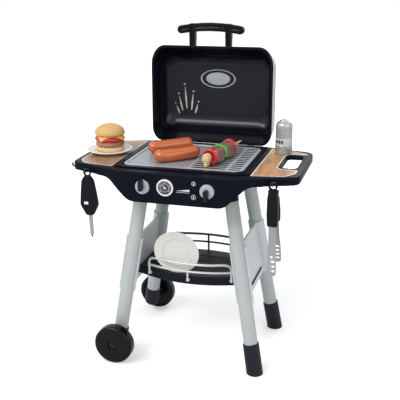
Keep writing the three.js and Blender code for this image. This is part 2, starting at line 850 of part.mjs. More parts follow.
// Shelf: a grooved black tray with a bowed front and back, whose ends go through the side panels
const bow = { front: { end: -40, mid: -69 }, back: { end: 55, mid: 84 } };
const groove = { count: 8, width: 4.2, depth: 1.2, first: -34, pitch: 11.4, halfShare: 0.92 };

function bowY(end, x) {
  const { end: edge, mid } = end < 0 ? bow.front : bow.back;
  return edge + (mid - edge) * (1 - (x / shelfHalf) ** 2);
}

function bowAngle(end, x) {
  const { end: edge, mid } = end < 0 ? bow.front : bow.back;
  return Math.atan((-2 * (mid - edge) * x) / shelfHalf ** 2);
}

function shelfOutline(offset) {
  const steps = 10;
  const half = shelfHalf - offset;
  const points = [];
  for (const end of Object.values(ends)) {
    for (let k = 0; k <= steps; k += 1) {
      const x = -end * half * ((2 * k) / steps - 1);
      points.push(new THREE.Vector2(x, bowY(end, x) - end * offset));
    }
  }
  return points;
}

// Rails: bent bars that stand on three feet plugged into the lip of the shelf
const rail = { radius: 2.7, feetX: 89, footDrop: 7.5, offset: 4.4, corner: 12 };
const railFoot = { peg: 2.3, collar: 4, collarThick: 1.4, ball: 3.3 };
const railRise = { front: { top: 21.5, low: 8 }, back: { top: 33, low: 16 } };

function onLip(geometry, end, x) {
  return outward(geometry, end).rotateZ(bowAngle(end, x))
    .translate(x, bowY(end, x), shelfTop - rail.footDrop);
}

function shelf() {
  const base = shelfTop - shelfDeep;
  const tray = prism(shelfOutline(0), base, shelfTop, shelfWall / 2);
  const hollow = prism(shelfOutline(shelfWall), base - overrun, shelfTop - shelfWall - groove.depth);
  const tabs = Object.values(sides).map((side) => {
    const reach = [side * (shelfHalf - shelfWall / 2), side * tab.reach].sort((a, b) => a - b);
    return box([reach[0], tab.front, base], [reach[1], tab.back, base + tab.thick]);
  });
  const tools = [];
  for (let k = 0; k < groove.count; k += 1) {
    const y = groove.first + k * groove.pitch;
    const half = shelfHalf * groove.halfShare;
    tools.push(box(
      [-half, y - groove.width / 2, shelfTop - groove.depth],
      [half, y + groove.width / 2, shelfTop + overrun],
    ));
  }
  for (const end of Object.values(ends)) {
    for (const x of [-rail.feetX, 0, rail.feetX]) {
      tools.push(onLip(cylinder(railFoot.peg + running, -2 * shelfWall, overrun, 10), end, x));
    }
  }
  return cut(join(cut(tray, hollow), ...tabs), ...tools);
}

function shelfRail(end) {
  const rise = end < 0 ? railRise.front : railRise.back;
  const top = shelfTop + rise.top;
  const low = shelfTop + rise.low;
  const base = shelfTop - rail.footDrop;
  const at = (x, z) => {
    const angle = bowAngle(end, x);
    return new THREE.Vector3(
      x - end * rail.offset * Math.sin(angle),
      bowY(end, x) + end * rail.offset * Math.cos(angle),
      z,
    );
  };
  const { feetX, corner } = rail;
  const bend = corner * (1 - Math.SQRT1_2);
  const half = [
    at(feetX, base),
    at(feetX, (base + top - corner) / 2),
    at(feetX, top - corner),
    at(feetX - bend, top - bend),
    at(feetX - corner, top),
    at(feetX / 2, top),
  ];
  const mirror = half.map((point) => new THREE.Vector3(-point.x, point.y, point.z));
  const hoop = new THREE.CatmullRomCurve3([...half, at(0, top), ...mirror.reverse()]);
  const bar = new THREE.CatmullRomCurve3([-1, -0.5, 0, 0.5, 1].map((share) => at(share * feetX, low)));
  const post = new THREE.LineCurve3(at(0, base), at(0, top));
  const feet = [-feetX, 0, feetX].map((x) => onLip(turned([
    [0, -shelfWall - seat],
    [railFoot.peg, -shelfWall - seat],
    [railFoot.peg, seat],
    [railFoot.collar, seat],
    [railFoot.collar, seat + railFoot.collarThick],
    [railFoot.ball, seat + railFoot.collarThick],
    [railFoot.ball, rail.offset + rail.radius],
    [0, rail.offset + railFoot.ball],
  ], 6), end, x));
  const thin = rail.radius * 0.85;
  return join(tube(hoop, rail.radius, 22), tube(bar, thin, 6), tube(post, thin, 1), ...feet);
}

// Knobs: a grey disc with a black pointer on it, whose shaft goes through the apron
const knob = { radius: 14.5, disc: 5.5, edge: 1.2, tip: 16, tail: 6, barWidth: 9.6, barDeep: 10, stop: 6.5, stopThick: 2.4 };

function knobDisc() {
  return outward(turned([
    [knobShaft + running, 0],
    [knob.radius, 0],
    [knob.radius, knob.disc - knob.edge],
    [knob.radius - knob.edge, knob.disc],
    [knobShaft + running, knob.disc],
    [knobShaft + running, 0],
  ]), ends.front);
}

function knobGrip() {
  const inside = -deckWall - running;
  const shaft = turned([
    [0, inside - knob.stopThick],
    [knob.stop, inside - knob.stopThick],
    [knob.stop, inside],
    [knobShaft, inside],
    [knobShaft, knob.disc + knob.edge],
    [0, knob.disc + knob.edge],
  ], thinSteps);
  const low = knob.disc + running;
  const half = knob.barWidth / 2;
  const outline = mirrored([
    [half, -knob.tail, half * 0.95],
    [half * 0.9, knob.tip, half * 0.4],
  ]);
  const bar = prism(rounded(outline, filletSteps), low, low + knob.barDeep, knob.edge);
  return outward(join(shaft, bar), ends.front);
}

function knobGroup(name, x, turn) {
  const parts = group(
    '', [x, deckFrontY - seat, knobZ],
    mesh(`${name}_disc`, knobDisc(), { color: 0x8f9496, roughness: 0.4 }),
    mesh(`${name}_grip`, knobGrip(), black),
  );
  parts.rotation.y = turn;
  return parts;
}

// Dial: a white ring with a dark face, beside the left knob
const dial = { radius: 16.8, face: 13.3, depth: 3.4, back: 1.1, edge: 0.9, faceThick: 1 };

function dialBezel() {
  return outward(turned([
    [0, 0],
    [dial.radius, 0],
    [dial.radius, dial.depth - dial.edge],
    [dial.radius - dial.edge, dial.depth],
    [dial.face + dial.edge, dial.depth],
    [dial.face + seat, dial.depth - dial.edge],
    [dial.face + seat, dial.back],
    [0, dial.back],
  ]), ends.front);
}

function dialFace() {
  const low = dial.back + seat;
  return outward(cylinder(dial.face, low, low + dial.faceThick), ends.front);
}

// Hooks: bent wires that plug into the side of the deck, one at the left end and two at the front
const hook = { radius: 1.9, drop: 10, reach: 20, lift: 6, inside: 4 };
const endHook = { y: -78, drop: 12, reach: 8.5, lift: 8 };
const frontHookX = deckHalf - tableWide * 0.44;
const frontHookZ = deckHeight - hook.drop;
const endHookZ = deckHeight - endHook.drop;

function frontEdgeY(x) {
  const share = (Math.abs(x) - apronHalf) / (deckHalf - apronHalf);
  return THREE.MathUtils.lerp(deckFrontY, tableFrontY, share);
}

// Built with its wall at Z = 0, going out along Z and up along Y, then stood at the front
function hookWire({ reach, lift }) {
  const { radius, inside } = hook;
  const path = new THREE.CatmullRomCurve3([
    new THREE.Vector3(0, 0, -inside),
    new THREE.Vector3(0, 0, 0),
    new THREE.Vector3(0, 0, reach - lift / 2),
    new THREE.Vector3(0, lift / 6, reach - lift / 6),
    new THREE.Vector3(0, lift / 2, reach),
    new THREE.Vector3(0, lift, reach),
  ]);
  return tube(path, radius, 8).rotateX(quarterTurn);
}

function hookHole() {
  return cylinder(hook.radius + running, -deckWall * 3, overrun, 10).rotateX(quarterTurn);
}

// Tools that hang on the front hooks, drawn from the peg
const hangReach = 10.7;
const toolY = frontEdgeY(frontHookX) - hangReach;
const ring = { probe: 7.6, tongs: 5.6, wall: 3 };
const probe = {
  thick: 9, bevel: 2, top: 14.5, neck: 10.6, shoulderZ: 41, shoulder: 16,
  bellyZ: 70, belly: 20, tailZ: 92, tail: 7.5, rod: 4, tang: 3, tangDepth: 9, rodEnd: 138, tipLength: 18,
};
const probeRound = { tail: 5, belly: 12, shoulder: 30, neck: 10, eye: 6 };

// The ring hangs on the peg by the top of its hole
function ringDrop(radius) {
  return radius - hook.radius - seat;
}

function probeHandle() {
  const drop = ringDrop(ring.probe);
  const outline = mirrored([
    [probe.tail, -probe.tailZ, probeRound.tail],
    [probe.belly, -probe.bellyZ, probeRound.belly],
    [probe.shoulder, -probe.shoulderZ, probeRound.shoulder],
    [probe.neck, -probe.top - drop, probeRound.neck],
    [ring.probe + ring.wall, -drop, probeRound.eye],
    [ring.probe, ring.probe + ring.wall - drop, probeRound.eye],
  ]);
  const hole = ellipse(ring.probe, ring.probe, thinSteps).map((point) => new THREE.Vector2(point.x, point.y - drop));
  const body = upright(rounded(outline), -probe.thick / 2, probe.thick / 2, probe.bevel / 2, [hole]);
  const socket = cylinder(probe.tang + seat, -probe.tailZ - overrun, probe.tangDepth - probe.tailZ + seat, 12);
  return cut(body, socket);
}

function probeRod() {
  return turned([
    [0, -probe.rodEnd],
    [probe.rod / 4, -probe.rodEnd],
    [probe.rod, probe.tipLength - probe.rodEnd],
    [probe.rod, -probe.tailZ - seat],
    [probe.tang, -probe.tailZ - seat],
    [probe.tang, probe.tangDepth - probe.tailZ],
    [0, probe.tangDepth - probe.tailZ],
  ], 12);
}

// Tongs: two arms that pivot behind the grip of the front one. Each has a black grip and a slotted blade.
const tongs = {
  width: 19.5, thick: 6.5, bevel: 1.6, gripEnd: 82, pivotDrop: 16, pivotBack: 7.5, knuckle: 3.6, knuckleWidth: 7.4,
  pin: 1.5, pinReach: 2.6, gap: 1.2, open: THREE.MathUtils.degToRad(17),
};
const blade = { thick: 2.2, tangWidth: 9, tangDepth: 11, neck: 14, head: 17, headStart: 138, end: 184, slots: 4 };
const bladeSlot = { width: 9.5, height: 4.4, pitch: 9.6, first: 145 };

function tongGrip(top) {
  const half = tongs.width / 2;
  return [
    [half * 0.85, -tongs.gripEnd, half * 0.4],
    [half, -tongs.gripEnd * 0.6, half * 2.5],
    [half * 0.8, top - half * 1.4, half * 1.25],
    [half * 0.55, top, half * 0.5],
  ];
}

function tangSlot(y) {
  const half = blade.tangWidth / 2 + seat;
  return box(
    [-half, y - blade.thick / 2 - seat, -tongs.gripEnd - overrun],
    [half, y + blade.thick / 2 + seat, blade.tangDepth - tongs.gripEnd + seat],
  );
}

function frontGrip() {
  const drop = ringDrop(ring.tongs);
  const body = upright(
    rounded(mirrored(tongGrip(ring.tongs / 2 - drop))), -tongs.thick / 2, tongs.thick / 2, tongs.bevel,
  );
  const loop = upright(
    ellipse(ring.tongs + ring.wall, ring.tongs + ring.wall, 16).map((point) => new THREE.Vector2(point.x, point.y - drop)),
    -tongs.thick / 2, tongs.thick / 2, tongs.bevel / 2,
  );
  const hole = upright(
    ellipse(ring.tongs, ring.tongs, 12).map((point) => new THREE.Vector2(point.x, point.y - drop)),
    -tongs.thick, tongs.thick,
  );
  const earX = tongs.knuckleWidth / 2 + running;
  const ears = Object.values(sides).map((side) => {
    const span = [side * earX, side * (tongs.width / 2 - running)].sort((a, b) => a - b);
    return box(
      [span[0], 0, -tongs.pivotDrop - tongs.knuckle],
      [span[1], tongs.pivotBack + tongs.knuckle, -tongs.pivotDrop + tongs.knuckle],
    );
  });
  const bore = cylinder(tongs.pin + running, -earX - tongs.pinReach - seat, earX + tongs.pinReach + seat, 10)
    .rotateY(quarterTurn).translate(0, tongs.pivotBack, -tongs.pivotDrop);
  return cut(join(body, loop, ...ears), hole, bore, tangSlot(0));
}

// The back arm is drawn closed, parallel to the front one, from the pivot
const backArmY = tongs.thick / 2 + tongs.gap - tongs.pivotBack + tongs.thick / 2;

function backGrip() {
  const outline = mirrored(tongGrip(-tongs.pivotDrop - 2 * tongs.knuckle));
  const body = upright(rounded(outline), -tongs.thick / 2, tongs.thick / 2, tongs.bevel);
  const arm = cut(body, tangSlot(0)).translate(0, backArmY, tongs.pivotDrop);
  const half = tongs.knuckleWidth / 2;
  const reach = half + running + tongs.pinReach;
  const knuckle = cylinder(tongs.knuckle, -half, half, 12).rotateY(quarterTurn);
  const axle = cylinder(tongs.pin, -reach, reach, 8).rotateY(quarterTurn);
  const web = box(
    [-half, backArmY - tongs.thick / 2 + tongs.bevel, -3 * tongs.knuckle],
    [half, backArmY + tongs.thick / 2 - tongs.bevel, 0],
  );
  return join(arm, web, knuckle, axle);
}

function tongBlade() {
  const outline = mirrored([
    [blade.head / 2, -blade.end, blade.head / 3],
    [blade.head / 2, -blade.headStart, blade.head / 2],
    [blade.neck / 2, blade.head - blade.headStart, blade.head / 2],
    [blade.neck / 2, -tongs.gripEnd - seat, 0],
    [blade.tangWidth / 2, -tongs.gripEnd - seat, 0],
    [blade.tangWidth / 2, blade.tangDepth - tongs.gripEnd, 0],
  ]);
  const holes = [];
  for (let k = 0; k < blade.slots; k += 1) {
    const z = -bladeSlot.first - k * bladeSlot.pitch;
    holes.push(rounded(rectangle(bladeSlot.width / 2, bladeSlot.height / 2, bladeSlot.height / 3, 0, z), 1));
  }
  return upright(rounded(outline), -blade.thick / 2, blade.thick / 2, 0, holes);
}

// Plates: one on the left table under the burger and one in the rack
const dish = { radius: 48.5, foot: 26, footWidth: 5, high: 9.5, wall: 2.2, well: 29, rim: 1.2 };
const white = { color: 0xe9e8e1, roughness: 0.35 };

function plateGeometry() {
  const { radius, foot: footRadius, high, wall, well, rim } = dish;
  return turned([
    [0, rim],
    [footRadius - rim, rim],
    [footRadius, 0],
    [footRadius + dish.footWidth, 0],
    [footRadius + dish.footWidth + rim, rim],
    [radius - rim, high - wall],
    [radius, high - rim],
    [radius - rim, high],
    [well + wall, wall + 2 * rim],
    [well, wall + rim],
    [0, wall + rim],
  ], 20);
}

// Burger: five pieces stacked on the plate
const burger = { beside: 47, y: -11, bun: 29.5, base: 13, patty: 30.5, pattyHigh: 11, tomato: 32, tomatoHigh: 8 };
const cheese = { half: 25, corner: 6, high: 3.2 };
const bunTop = { radius: 32, high: 22 };

function puck(radius, high, round) {
  return turned([
    [0, 0],
    [radius - round, 0],
    [radius, round],
    [radius, high - round],
    [radius - round, high],
    [0, high],
  ]);
}

function bunDome() {
  const { radius, high } = bunTop;
  const profile = [[0, 0], [radius * 0.92, 0], [radius, high * 0.2]];
  for (let k = 1; k <= filletSteps; k += 1) {
    const angle = (quarterTurn * k) / filletSteps;
    profile.push([radius * Math.cos(angle), high * (0.2 + 0.8 * Math.sin(angle))]);
  }
  profile[profile.length - 1][0] = 0;
  return turned(profile);
}

function burgerStack() {
  const pieces = [
    ['bun_bottom', puck(burger.bun, burger.base, burger.base / 3), burger.base, 0xd9a866],
    ['patty', puck(burger.patty, burger.pattyHigh, burger.pattyHigh / 3), burger.pattyHigh, 0x4a2c20],
    ['tomato_slice', puck(burger.tomato, burger.tomatoHigh, burger.tomatoHigh / 3), burger.tomatoHigh, 0xc6342a],
    ['cheese_slice', prism(rounded(rectangle(cheese.half, cheese.half, cheese.corner)), 0, cheese.high, cheese.high / 4),
      cheese.high, 0xf2c03c],
    ['bun_top', bunDome(), bunTop.high, 0xd39a4e],
  ];
  let z = dish.wall + dish.rim + seat;
  return pieces.map(([name, geometry, high, color]) => {
    const item = mesh(name, geometry, { color, roughness: 0.6 });
    item.position.z = z;
    z += high + seat;
    return item;
  });
}

// Sausages lie on the griddle
const sausage = { radius: 13, length: 101, steps: 6 };
const sausages = {
  sausage_rear: { x: -59.2, y: 18.3, turn: THREE.MathUtils.degToRad(40.7), sag: 1.5 },
  sausage_front: { x: -23.4, y: -49, turn: THREE.MathUtils.degToRad(42.5), sag: 5 },
};

// Bends a straight sausage level, so that its ends lie behind its middle by the sag
function bentBack(geometry, length, sag) {
  const arc = length ** 2 / (8 * sag);
  const places = geometry.attributes.position;
  for (let i = 0; i < places.count; i += 1) {
    const angle = places.getX(i) / arc;
    const out = arc - places.getY(i);
    places.setXY(i, out * Math.sin(angle), arc - out * Math.cos(angle));
  }
  return geometry;
}

function sausageGeometry(sag) {
  const { radius, length, steps } = sausage;
  const profile = [];
  const straight = length / 2 - radius;
  for (const end of [-1, 1]) {
    for (let k = 0; k <= filletSteps; k += 1) {
      const angle = quarterTurn * (end < 0 ? (k / filletSteps) - 1 : k / filletSteps);
      profile.push([radius * Math.cos(angle), end * straight + radius * Math.sin(angle)]);
    }
    for (let k = 1; end < 0 && k < steps; k += 1) profile.push([radius, straight * ((2 * k) / steps - 1)]);
  }
  profile[0][0] = 0;
  profile[profile.length - 1][0] = 0;
  return bentBack(turned(profile, 16).rotateY(quarterTurn), length, sag);
}

// Skewer: drawn along its stick from the first piece, then laid on the grate
const skewer = { x: 46.2, y: -98, turn: THREE.MathUtils.degToRad(11.2), radius: 16.2, stick: 2, length: 171.5 };
skewer.bore = skewer.stick + running;
const skewerBlunt = 12;
const skewerPieces = {
  skewer_mushroom: { at: 3, long: 14, form: 'mushroom', color: 0xc9b79a },
  skewer_pepper_red_front: { at: 20, long: 13, form: 'pepper', color: 0xc02a20 },
  skewer_meat_front: { at: 34.5, long: 25, form: 'meat', color: 0x6b4330 },
  skewer_pepper_green: { at: 61, long: 11.5, form: 'pepper', color: 0x4f8f33 },
  skewer_meat_back: { at: 74, long: 30, form: 'meat', color: 0x6b4330 },
  skewer_pepper_red_back: { at: 105.5, long: 12, form: 'pepper', color: 0xc02a20 },
};

function skewerPiece({ at, long, form }) {
  const { radius } = skewer;
  const cap = radius * 0.7;
  const outlines = {
    pepper: rectangle(radius, radius, radius * 0.5),
    meat: rectangle(radius * 0.95, radius, radius * 0.3),
    mushroom: mirrored([
      [cap * 0.4, -cap, cap * 0.2],
      [cap * 0.4, -cap * 0.15, cap * 0.1],
      [cap, -cap * 0.15, cap * 0.2],
      [cap * 0.9, cap, cap * 0.8],
    ]),
  };
  const body = prism(rounded(outlines[form]), at, at + long, long / 7);
  return cut(body, cylinder(skewer.bore, at - overrun, at + long + overrun, 8));
}

function skewerStick() {
  const start = skewerPieces.skewer_mushroom.at - skewerBlunt / 4;
  return turned([
    [0, start],
    [skewer.stick, start],
    [skewer.stick, skewer.length - skewerBlunt],
    [0, skewer.length],
  ], 8);
}

// Shaker: a silver pot with a domed cap
const shaker = { beside: 30, y: 65, radius: 18.4, waist: 17.2, high: 51.5, cap: 17, capHigh: 17, edge: 1.4 };
shaker.shoulderShare = 0.35;
shaker.waistShare = 0.5;

function shakerBody() {
  return turned([
    [0, 0],
    [shaker.radius - shaker.edge, 0],
    [shaker.radius, shaker.edge],
    [shaker.radius, shaker.high * shaker.shoulderShare],
    [shaker.waist, shaker.high * shaker.waistShare],
    [shaker.waist, shaker.high - shaker.edge],
    [shaker.waist - shaker.edge, shaker.high],
    [0, shaker.high],
  ]);
}

function shakerCap() {
  const profile = [[0, 0], [shaker.cap, 0], [shaker.cap, shaker.capHigh * 0.35]];
  for (let k = 1; k <= 3; k += 1) {
    const angle = (quarterTurn * k) / 3;
    profile.push([shaker.cap * Math.cos(angle), shaker.capHigh * (0.35 + 0.65 * Math.sin(angle))]);
  }
  profile[profile.length - 1][0] = 0;
  return turned(profile);
}

// Assembly

function sideGroup(name, side) {
  const frame = sideFrame(side);
  frame.add(mesh(`side_panel_${name}`, sidePanel(side), paleGrey));
  for (const [endName, end] of Object.entries(ends)) {
    const leg = legFrame(end);
    leg.add(mesh(`leg_${endName}_${name}`, legTube(), silverGrey));
    frame.add(leg);
  }
  return frame;
}

function wheelGroup(name, end) {
  return group(
    '', [boot.axleX, end * wheel.innerFace, wheelRadius],
    mesh(`wheel_${name}`, wheelDisc(end), { color: 0x14141a, roughness: 0.28 }),
    mesh(`axle_pin_${name}`, axlePin(end), { color: 0x2a2a2f, roughness: 0.45 }),
  );
}

const lid = group(
  '', [0, hingeY, hingeZ],
  mesh('lid_shell', lidShell(), silverGrey),
  mesh('lid_liner', lidLiner(), black),
  mesh('lid_badge', lidBadge(), { color: 0x8d9092, roughness: 0.4 }),
  mesh('lid_handle', lidHandle(), black),
);
lid.rotation.x = -lidOpenAngle;

const panelLow = deckHeight - panelDepth + seat;
const wood = { color: 0x8a5a38, roughness: 0.5 };
const wireLook = { color: 0x3a3b40, roughness: 0.4 };

const deck = group(
  '', [0, 0, 0],
  mesh('deck_shell', deckShell(), black),
  mesh('burner_box', burnerBox(), black),
  mesh('cooking_plate', cookingPlate(), satinSteel),
  mesh('left_table_inlay', prism(leftPanel(0), panelLow, deckHeight, panelDepth / 6), wood),
  mesh('right_table_inlay', prism(rightPanel(0), panelLow, deckHeight, panelDepth / 6), wood),
  group(
    '', [dialX, deckFrontY - seat, dialZ],
    mesh('dial_bezel', dialBezel(), { color: 0xe8e8e6, roughness: 0.4 }),
    mesh('dial_face', dialFace(), { color: 0x202126, roughness: 0.4 }),
  ),
  group('', [-deckHalf, endHook.y, endHookZ], mesh('hook_left_end', hookWire(endHook).rotateZ(-quarterTurn), wireLook)),
  group('', [-frontHookX, frontEdgeY(frontHookX), frontHookZ], mesh('hook_left_front', hookWire(hook), wireLook)),
  group('', [frontHookX, frontEdgeY(frontHookX), frontHookZ], mesh('hook_right_front', hookWire(hook), wireLook)),
);

const undercarriage = group(
  '', [0, 0, 0],
  sideGroup('left', sides.left),
  sideGroup('right', sides.right),
  mesh('foot_front_right', foot(ends.front), darkBoot),
  mesh('foot_back_right', foot(ends.back), darkBoot),
  mesh('axle_boot_front_left', axleBoot(ends.front), darkBoot),
  mesh('axle_boot_back_left', axleBoot(ends.back), darkBoot),
  wheelGroup('front', ends.front),
  wheelGroup('back', ends.back),
  mesh('shelf', shelf(), black),
  mesh('shelf_rail_front', shelfRail(ends.front), { color: 0xc9cccc, roughness: 0.35, metalness: 0.3 }),
  mesh('shelf_rail_back', shelfRail(ends.back), wireLook),
);

const tongsBack = group(
  '', [0, tongs.pivotBack, -tongs.pivotDrop],
  mesh('tongs_back_grip', backGrip(), black),
  mesh('tongs_back_blade', tongBlade().translate(0, backArmY, tongs.pivotDrop), silverGrey),
);
tongsBack.rotation.x = tongs.open;

const tools = [
  group(
    '', [-frontHookX, toolY, frontHookZ],
    mesh('probe_handle', probeHandle(), black),
    mesh('probe_rod', probeRod(), silverGrey),
  ),
  group(
    '', [frontHookX, toolY, frontHookZ],
    mesh('tongs_front_grip', frontGrip(), black),
    mesh('tongs_front_blade', tongBlade(), silverGrey),
    tongsBack,
  ),
];

const meal = group(
  '', [-panelInnerX - burger.beside, burger.y, deckHeight + seat],
  mesh('burger_plate', plateGeometry(), white),
  ...burgerStack(),
);

// The second plate stands in the rack and leans on the top bar of the front rail
const rack = { x: -22, lean: THREE.MathUtils.degToRad(14.6), yaw: THREE.MathUtils.degToRad(-5), bowGap: 3.5 };
const rackRise = railRise.front.top + rail.radius;
const rackFaceY = bowY(ends.front, rack.x) - rail.offset + rail.radius + rack.bowGap;
const rackPlate = group(
  '', [0, 0, 0],
  mesh('rack_plate', plateGeometry().rotateX(quarterTurn).translate(0, 0, dish.radius), white),
);
rackPlate.rotation.x = rack.lean;
const rackPlace = group('', [
  rack.x,
  rackFaceY + dish.high * Math.cos(rack.lean) + rackRise * Math.tan(rack.lean),
  shelfTop + seat + (dish.high - dish.rim) * Math.sin(rack.lean),
], rackPlate);
rackPlace.rotation.z = rack.yaw;

const griddleTop = plateTop - griddleDepth + seat;
const links = Object.entries(sausages).map(([name, { x, y, turn, sag }]) => {
  const item = mesh(name, sausageGeometry(sag), { color: 0xb3531f, roughness: 0.35 });
  item.position.set(x, y, griddleTop + sausage.radius);
  item.rotation.z = turn;
  return item;
});

const kebab = group('', [skewer.x, skewer.y, plateTop + seat + skewer.radius]);
for (const [name, piece] of Object.entries(skewerPieces)) {
  kebab.add(mesh(name, skewerPiece(piece), { color: piece.color, roughness: 0.5 }));
}
kebab.add(mesh('skewer_stick', skewerStick(), { color: 0xd8d9d4, roughness: 0.4 }));
kebab.children.forEach((item) => item.geometry.rotateX(-quarterTurn));
kebab.rotation.z = -skewer.turn;

const pot = group(
  '', [panelInnerX + shaker.beside, shaker.y, deckHeight + seat],
  mesh('shaker_body', shakerBody(), { color: 0xb9bbbb, roughness: 0.3, metalness: 0.5 }),
  mesh('shaker_cap', shakerCap().translate(0, 0, shaker.high + seat), { color: 0xa8abab, roughness: 0.3, metalness: 0.5 }),
);

const grill = group('', [0, 0, 0], deck, undercarriage, lid, meal, rackPlace, ...links, kebab, pot, ...tools);
grill.add(knobGroup('knob_left', -knobX, 0), knobGroup('knob_right', knobX, Math.PI));

// The origin is on the floor, under the middle of the whole grill
grill.updateMatrixWorld(true);
const bounds = new THREE.Box3().setFromObject(grill, true);
const middle = bounds.getCenter(new THREE.Vector3());
grill.position.set(-middle.x, -middle.y, -bounds.min.z);

export default grill;
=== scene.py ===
import math

import bmesh
import bpy
from mathutils import Matrix, Vector


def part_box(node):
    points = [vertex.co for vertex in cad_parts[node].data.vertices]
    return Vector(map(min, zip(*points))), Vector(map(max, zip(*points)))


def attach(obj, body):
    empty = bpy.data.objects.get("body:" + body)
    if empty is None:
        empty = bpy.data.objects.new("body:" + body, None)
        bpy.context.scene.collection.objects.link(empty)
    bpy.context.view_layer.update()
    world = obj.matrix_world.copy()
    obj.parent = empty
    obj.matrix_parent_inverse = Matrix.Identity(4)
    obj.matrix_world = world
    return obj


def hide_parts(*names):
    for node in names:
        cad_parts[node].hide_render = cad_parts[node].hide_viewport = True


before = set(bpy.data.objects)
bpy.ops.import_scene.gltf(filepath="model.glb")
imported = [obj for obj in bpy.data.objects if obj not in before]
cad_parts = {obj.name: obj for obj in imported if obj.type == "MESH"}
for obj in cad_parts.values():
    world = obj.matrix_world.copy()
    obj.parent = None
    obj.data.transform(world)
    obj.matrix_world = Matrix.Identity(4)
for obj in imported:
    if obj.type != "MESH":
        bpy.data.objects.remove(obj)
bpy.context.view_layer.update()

# Camera and studio
# The toy stands on a white sweep under one large soft lamp from the upper left and a pale dome.
# Lengths below are millimetres from the middle of the deck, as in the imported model, unless said.
mm = 0.001
deck_low, deck_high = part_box("deck_shell")
deck_front_y = -145
home = Vector(((deck_low.x + deck_high.x) / 2, deck_low.y - deck_front_y * mm, 0))


def stood(name, data):
    """A new object of the scene."""
    made = bpy.data.objects.new(name, data)
    bpy.context.scene.collection.objects.link(made)
    return made


# The camera's lens, spot and directions were solved from the photograph.
camera_data = bpy.data.cameras.new("camera")
camera_data.sensor_width = 36
camera_data.lens = 67.59
camera = stood("camera", camera_data)
camera_spot = Vector((0.441480, -1.442990, 0.826770))
camera_right = Vector((0.95854, 0.28473, -0.01115))
camera_up = Vector((-0.07903, 0.30324, 0.94963))
camera_forward = Vector((-0.27377, 0.90938, -0.31317))
camera.matrix_world = Matrix.Translation(camera_spot + home) @ Matrix(
    (camera_right, camera_up, -camera_forward)).transposed().to_4x4()
bpy.context.scene.camera = camera
bpy.context.scene.view_settings.view_transform = "Standard"


def fill(node, inputs):
    """Gives each named input of a shader node its value, or another node's output."""
    for socket, value in inputs.items():
        if isinstance(value, bpy.types.NodeSocket):
            node.id_data.links.new(value, node.inputs[socket])
        else:
            node.inputs[socket].default_value = value


def wired(tree, kind, inputs, out=0, **traits):
    """Adds a shader node, fills its inputs, and hands over the output that the next node takes."""
    node = tree.nodes.new("ShaderNode" + kind)
    for trait, value in traits.items():
        setattr(node, trait, value)
    fill(node, inputs)
    return node.outputs[out] if node.outputs else None


floor_reach = 6.0
floor_mesh = bpy.data.meshes.new("floor")
shape = bmesh.new()
bmesh.ops.create_grid(shape, x_segments=2, y_segments=2, size=floor_reach)
shape.to_mesh(floor_mesh)
shape.free()
floor = stood("floor", floor_mesh)

floor_paint = bpy.data.materials.new("white_sweep")
floor_paint.use_nodes = True
tree = floor_paint.node_tree
tree.nodes.clear()
reach = wired(tree, "VectorMath", {0: wired(tree, "TexCoord", {}, "Object")}, "Value", operation="LENGTH")
fade = wired(tree, "MapRange", {"Value": reach, "From Min": 0.5, "From Max": 2.6, "To Min": 0.36,
                                "To Max": 0.95}, interpolation_type="SMOOTHSTEP")
share = wired(tree, "Math", {0: wired(tree, "LightPath", {}, "Is Camera Ray"), 1: fade}, operation="MULTIPLY")
lit = wired(tree, "BsdfDiffuse", {"Color": (0.8, 0.8, 0.8, 1)})
glow = wired(tree, "Emission", {"Color": (1, 0.995, 0.99, 1), "Strength": share})
wired(tree, "OutputMaterial", {"Surface": wired(tree, "AddShader", {0: lit, 1: glow})})
floor_mesh.materials.append(floor_paint)

world = bpy.data.worlds.new("pale_room")
bpy.context.scene.world = world
world.use_nodes = True
tree = world.node_tree
tree.nodes.clear()
room = wired(tree, "Background", {"Color": (0.96, 0.98, 1.0, 1), "Strength": 0.62})
backdrop = wired(tree, "Background", {"Color": (1, 1, 1, 1), "Strength": 1.0})
seen = wired(tree, "LightPath", {}, "Is Camera Ray")
for ray in ("Is Transmission Ray", "Is Glossy Ray"):
    seen = wired(tree, "Math", {0: seen, 1: wired(tree, "LightPath", {}, ray)}, operation="MAXIMUM")
wired(tree, "OutputWorld", {"Surface": wired(tree, "MixShader", {"Fac": seen, 1: room, 2: backdrop})})

for name, place, aim, wide, high, power in (
    ("key_lamp", (-1.0, -1.75, 2.25), (0, 0, 0.35), 2.2, 0.9, 46),
    ("fill_lamp", (1.9, -1.1, 1.3), (0, 0, 0.35), 1.5, 1.5, 9),
    ("rim_lamp", (0.5, 2.0, 1.9), (0, 0, 0.4), 1.2, 1.2, 16),
):
    lamp_data = bpy.data.lights.new(name, "AREA")
    lamp_data.shape = "RECTANGLE"
    lamp_data.size = wide
    lamp_data.size_y = high
    lamp_data.energy = power
    lamp = stood(name, lamp_data)
    lamp.location = place
    lamp.rotation_mode = "QUATERNION"
    lamp.rotation_quaternion = (Vector(aim) - Vector(place)).to_track_quat("-Z", "Y")


# Legs
# Four straight tubes of grey-silver moulded plastic. Each side's pair leans inward in one plane, and
# in it the front and the back leg lean together. They plug into the burner box above.
leg_radius, leg_bore = 14.5, 11.8
leg_low, leg_high, leg_top = 64.3, 359.7, 379.992
floor_x, floor_y = 152.9, 106.4
top_x, top_y = 91.4, 73.9
lean_x = math.atan((floor_x - top_x) / leg_top)
lean_y = math.atan((floor_y - top_y) / leg_top * math.cos(lean_x))
leg_slope = math.cos(lean_x) * math.cos(lean_y)
sides = {"left": -1, "right": 1}
ends = {"front": -1, "back": 1}


def at(x, y, z):
    """A shift to a spot."""
    return Matrix.Translation((x, y, z))


def swung(degrees, axis):
    """A turn about an axis through the origin."""
    return Matrix.Rotation(math.radians(degrees), 4, axis)


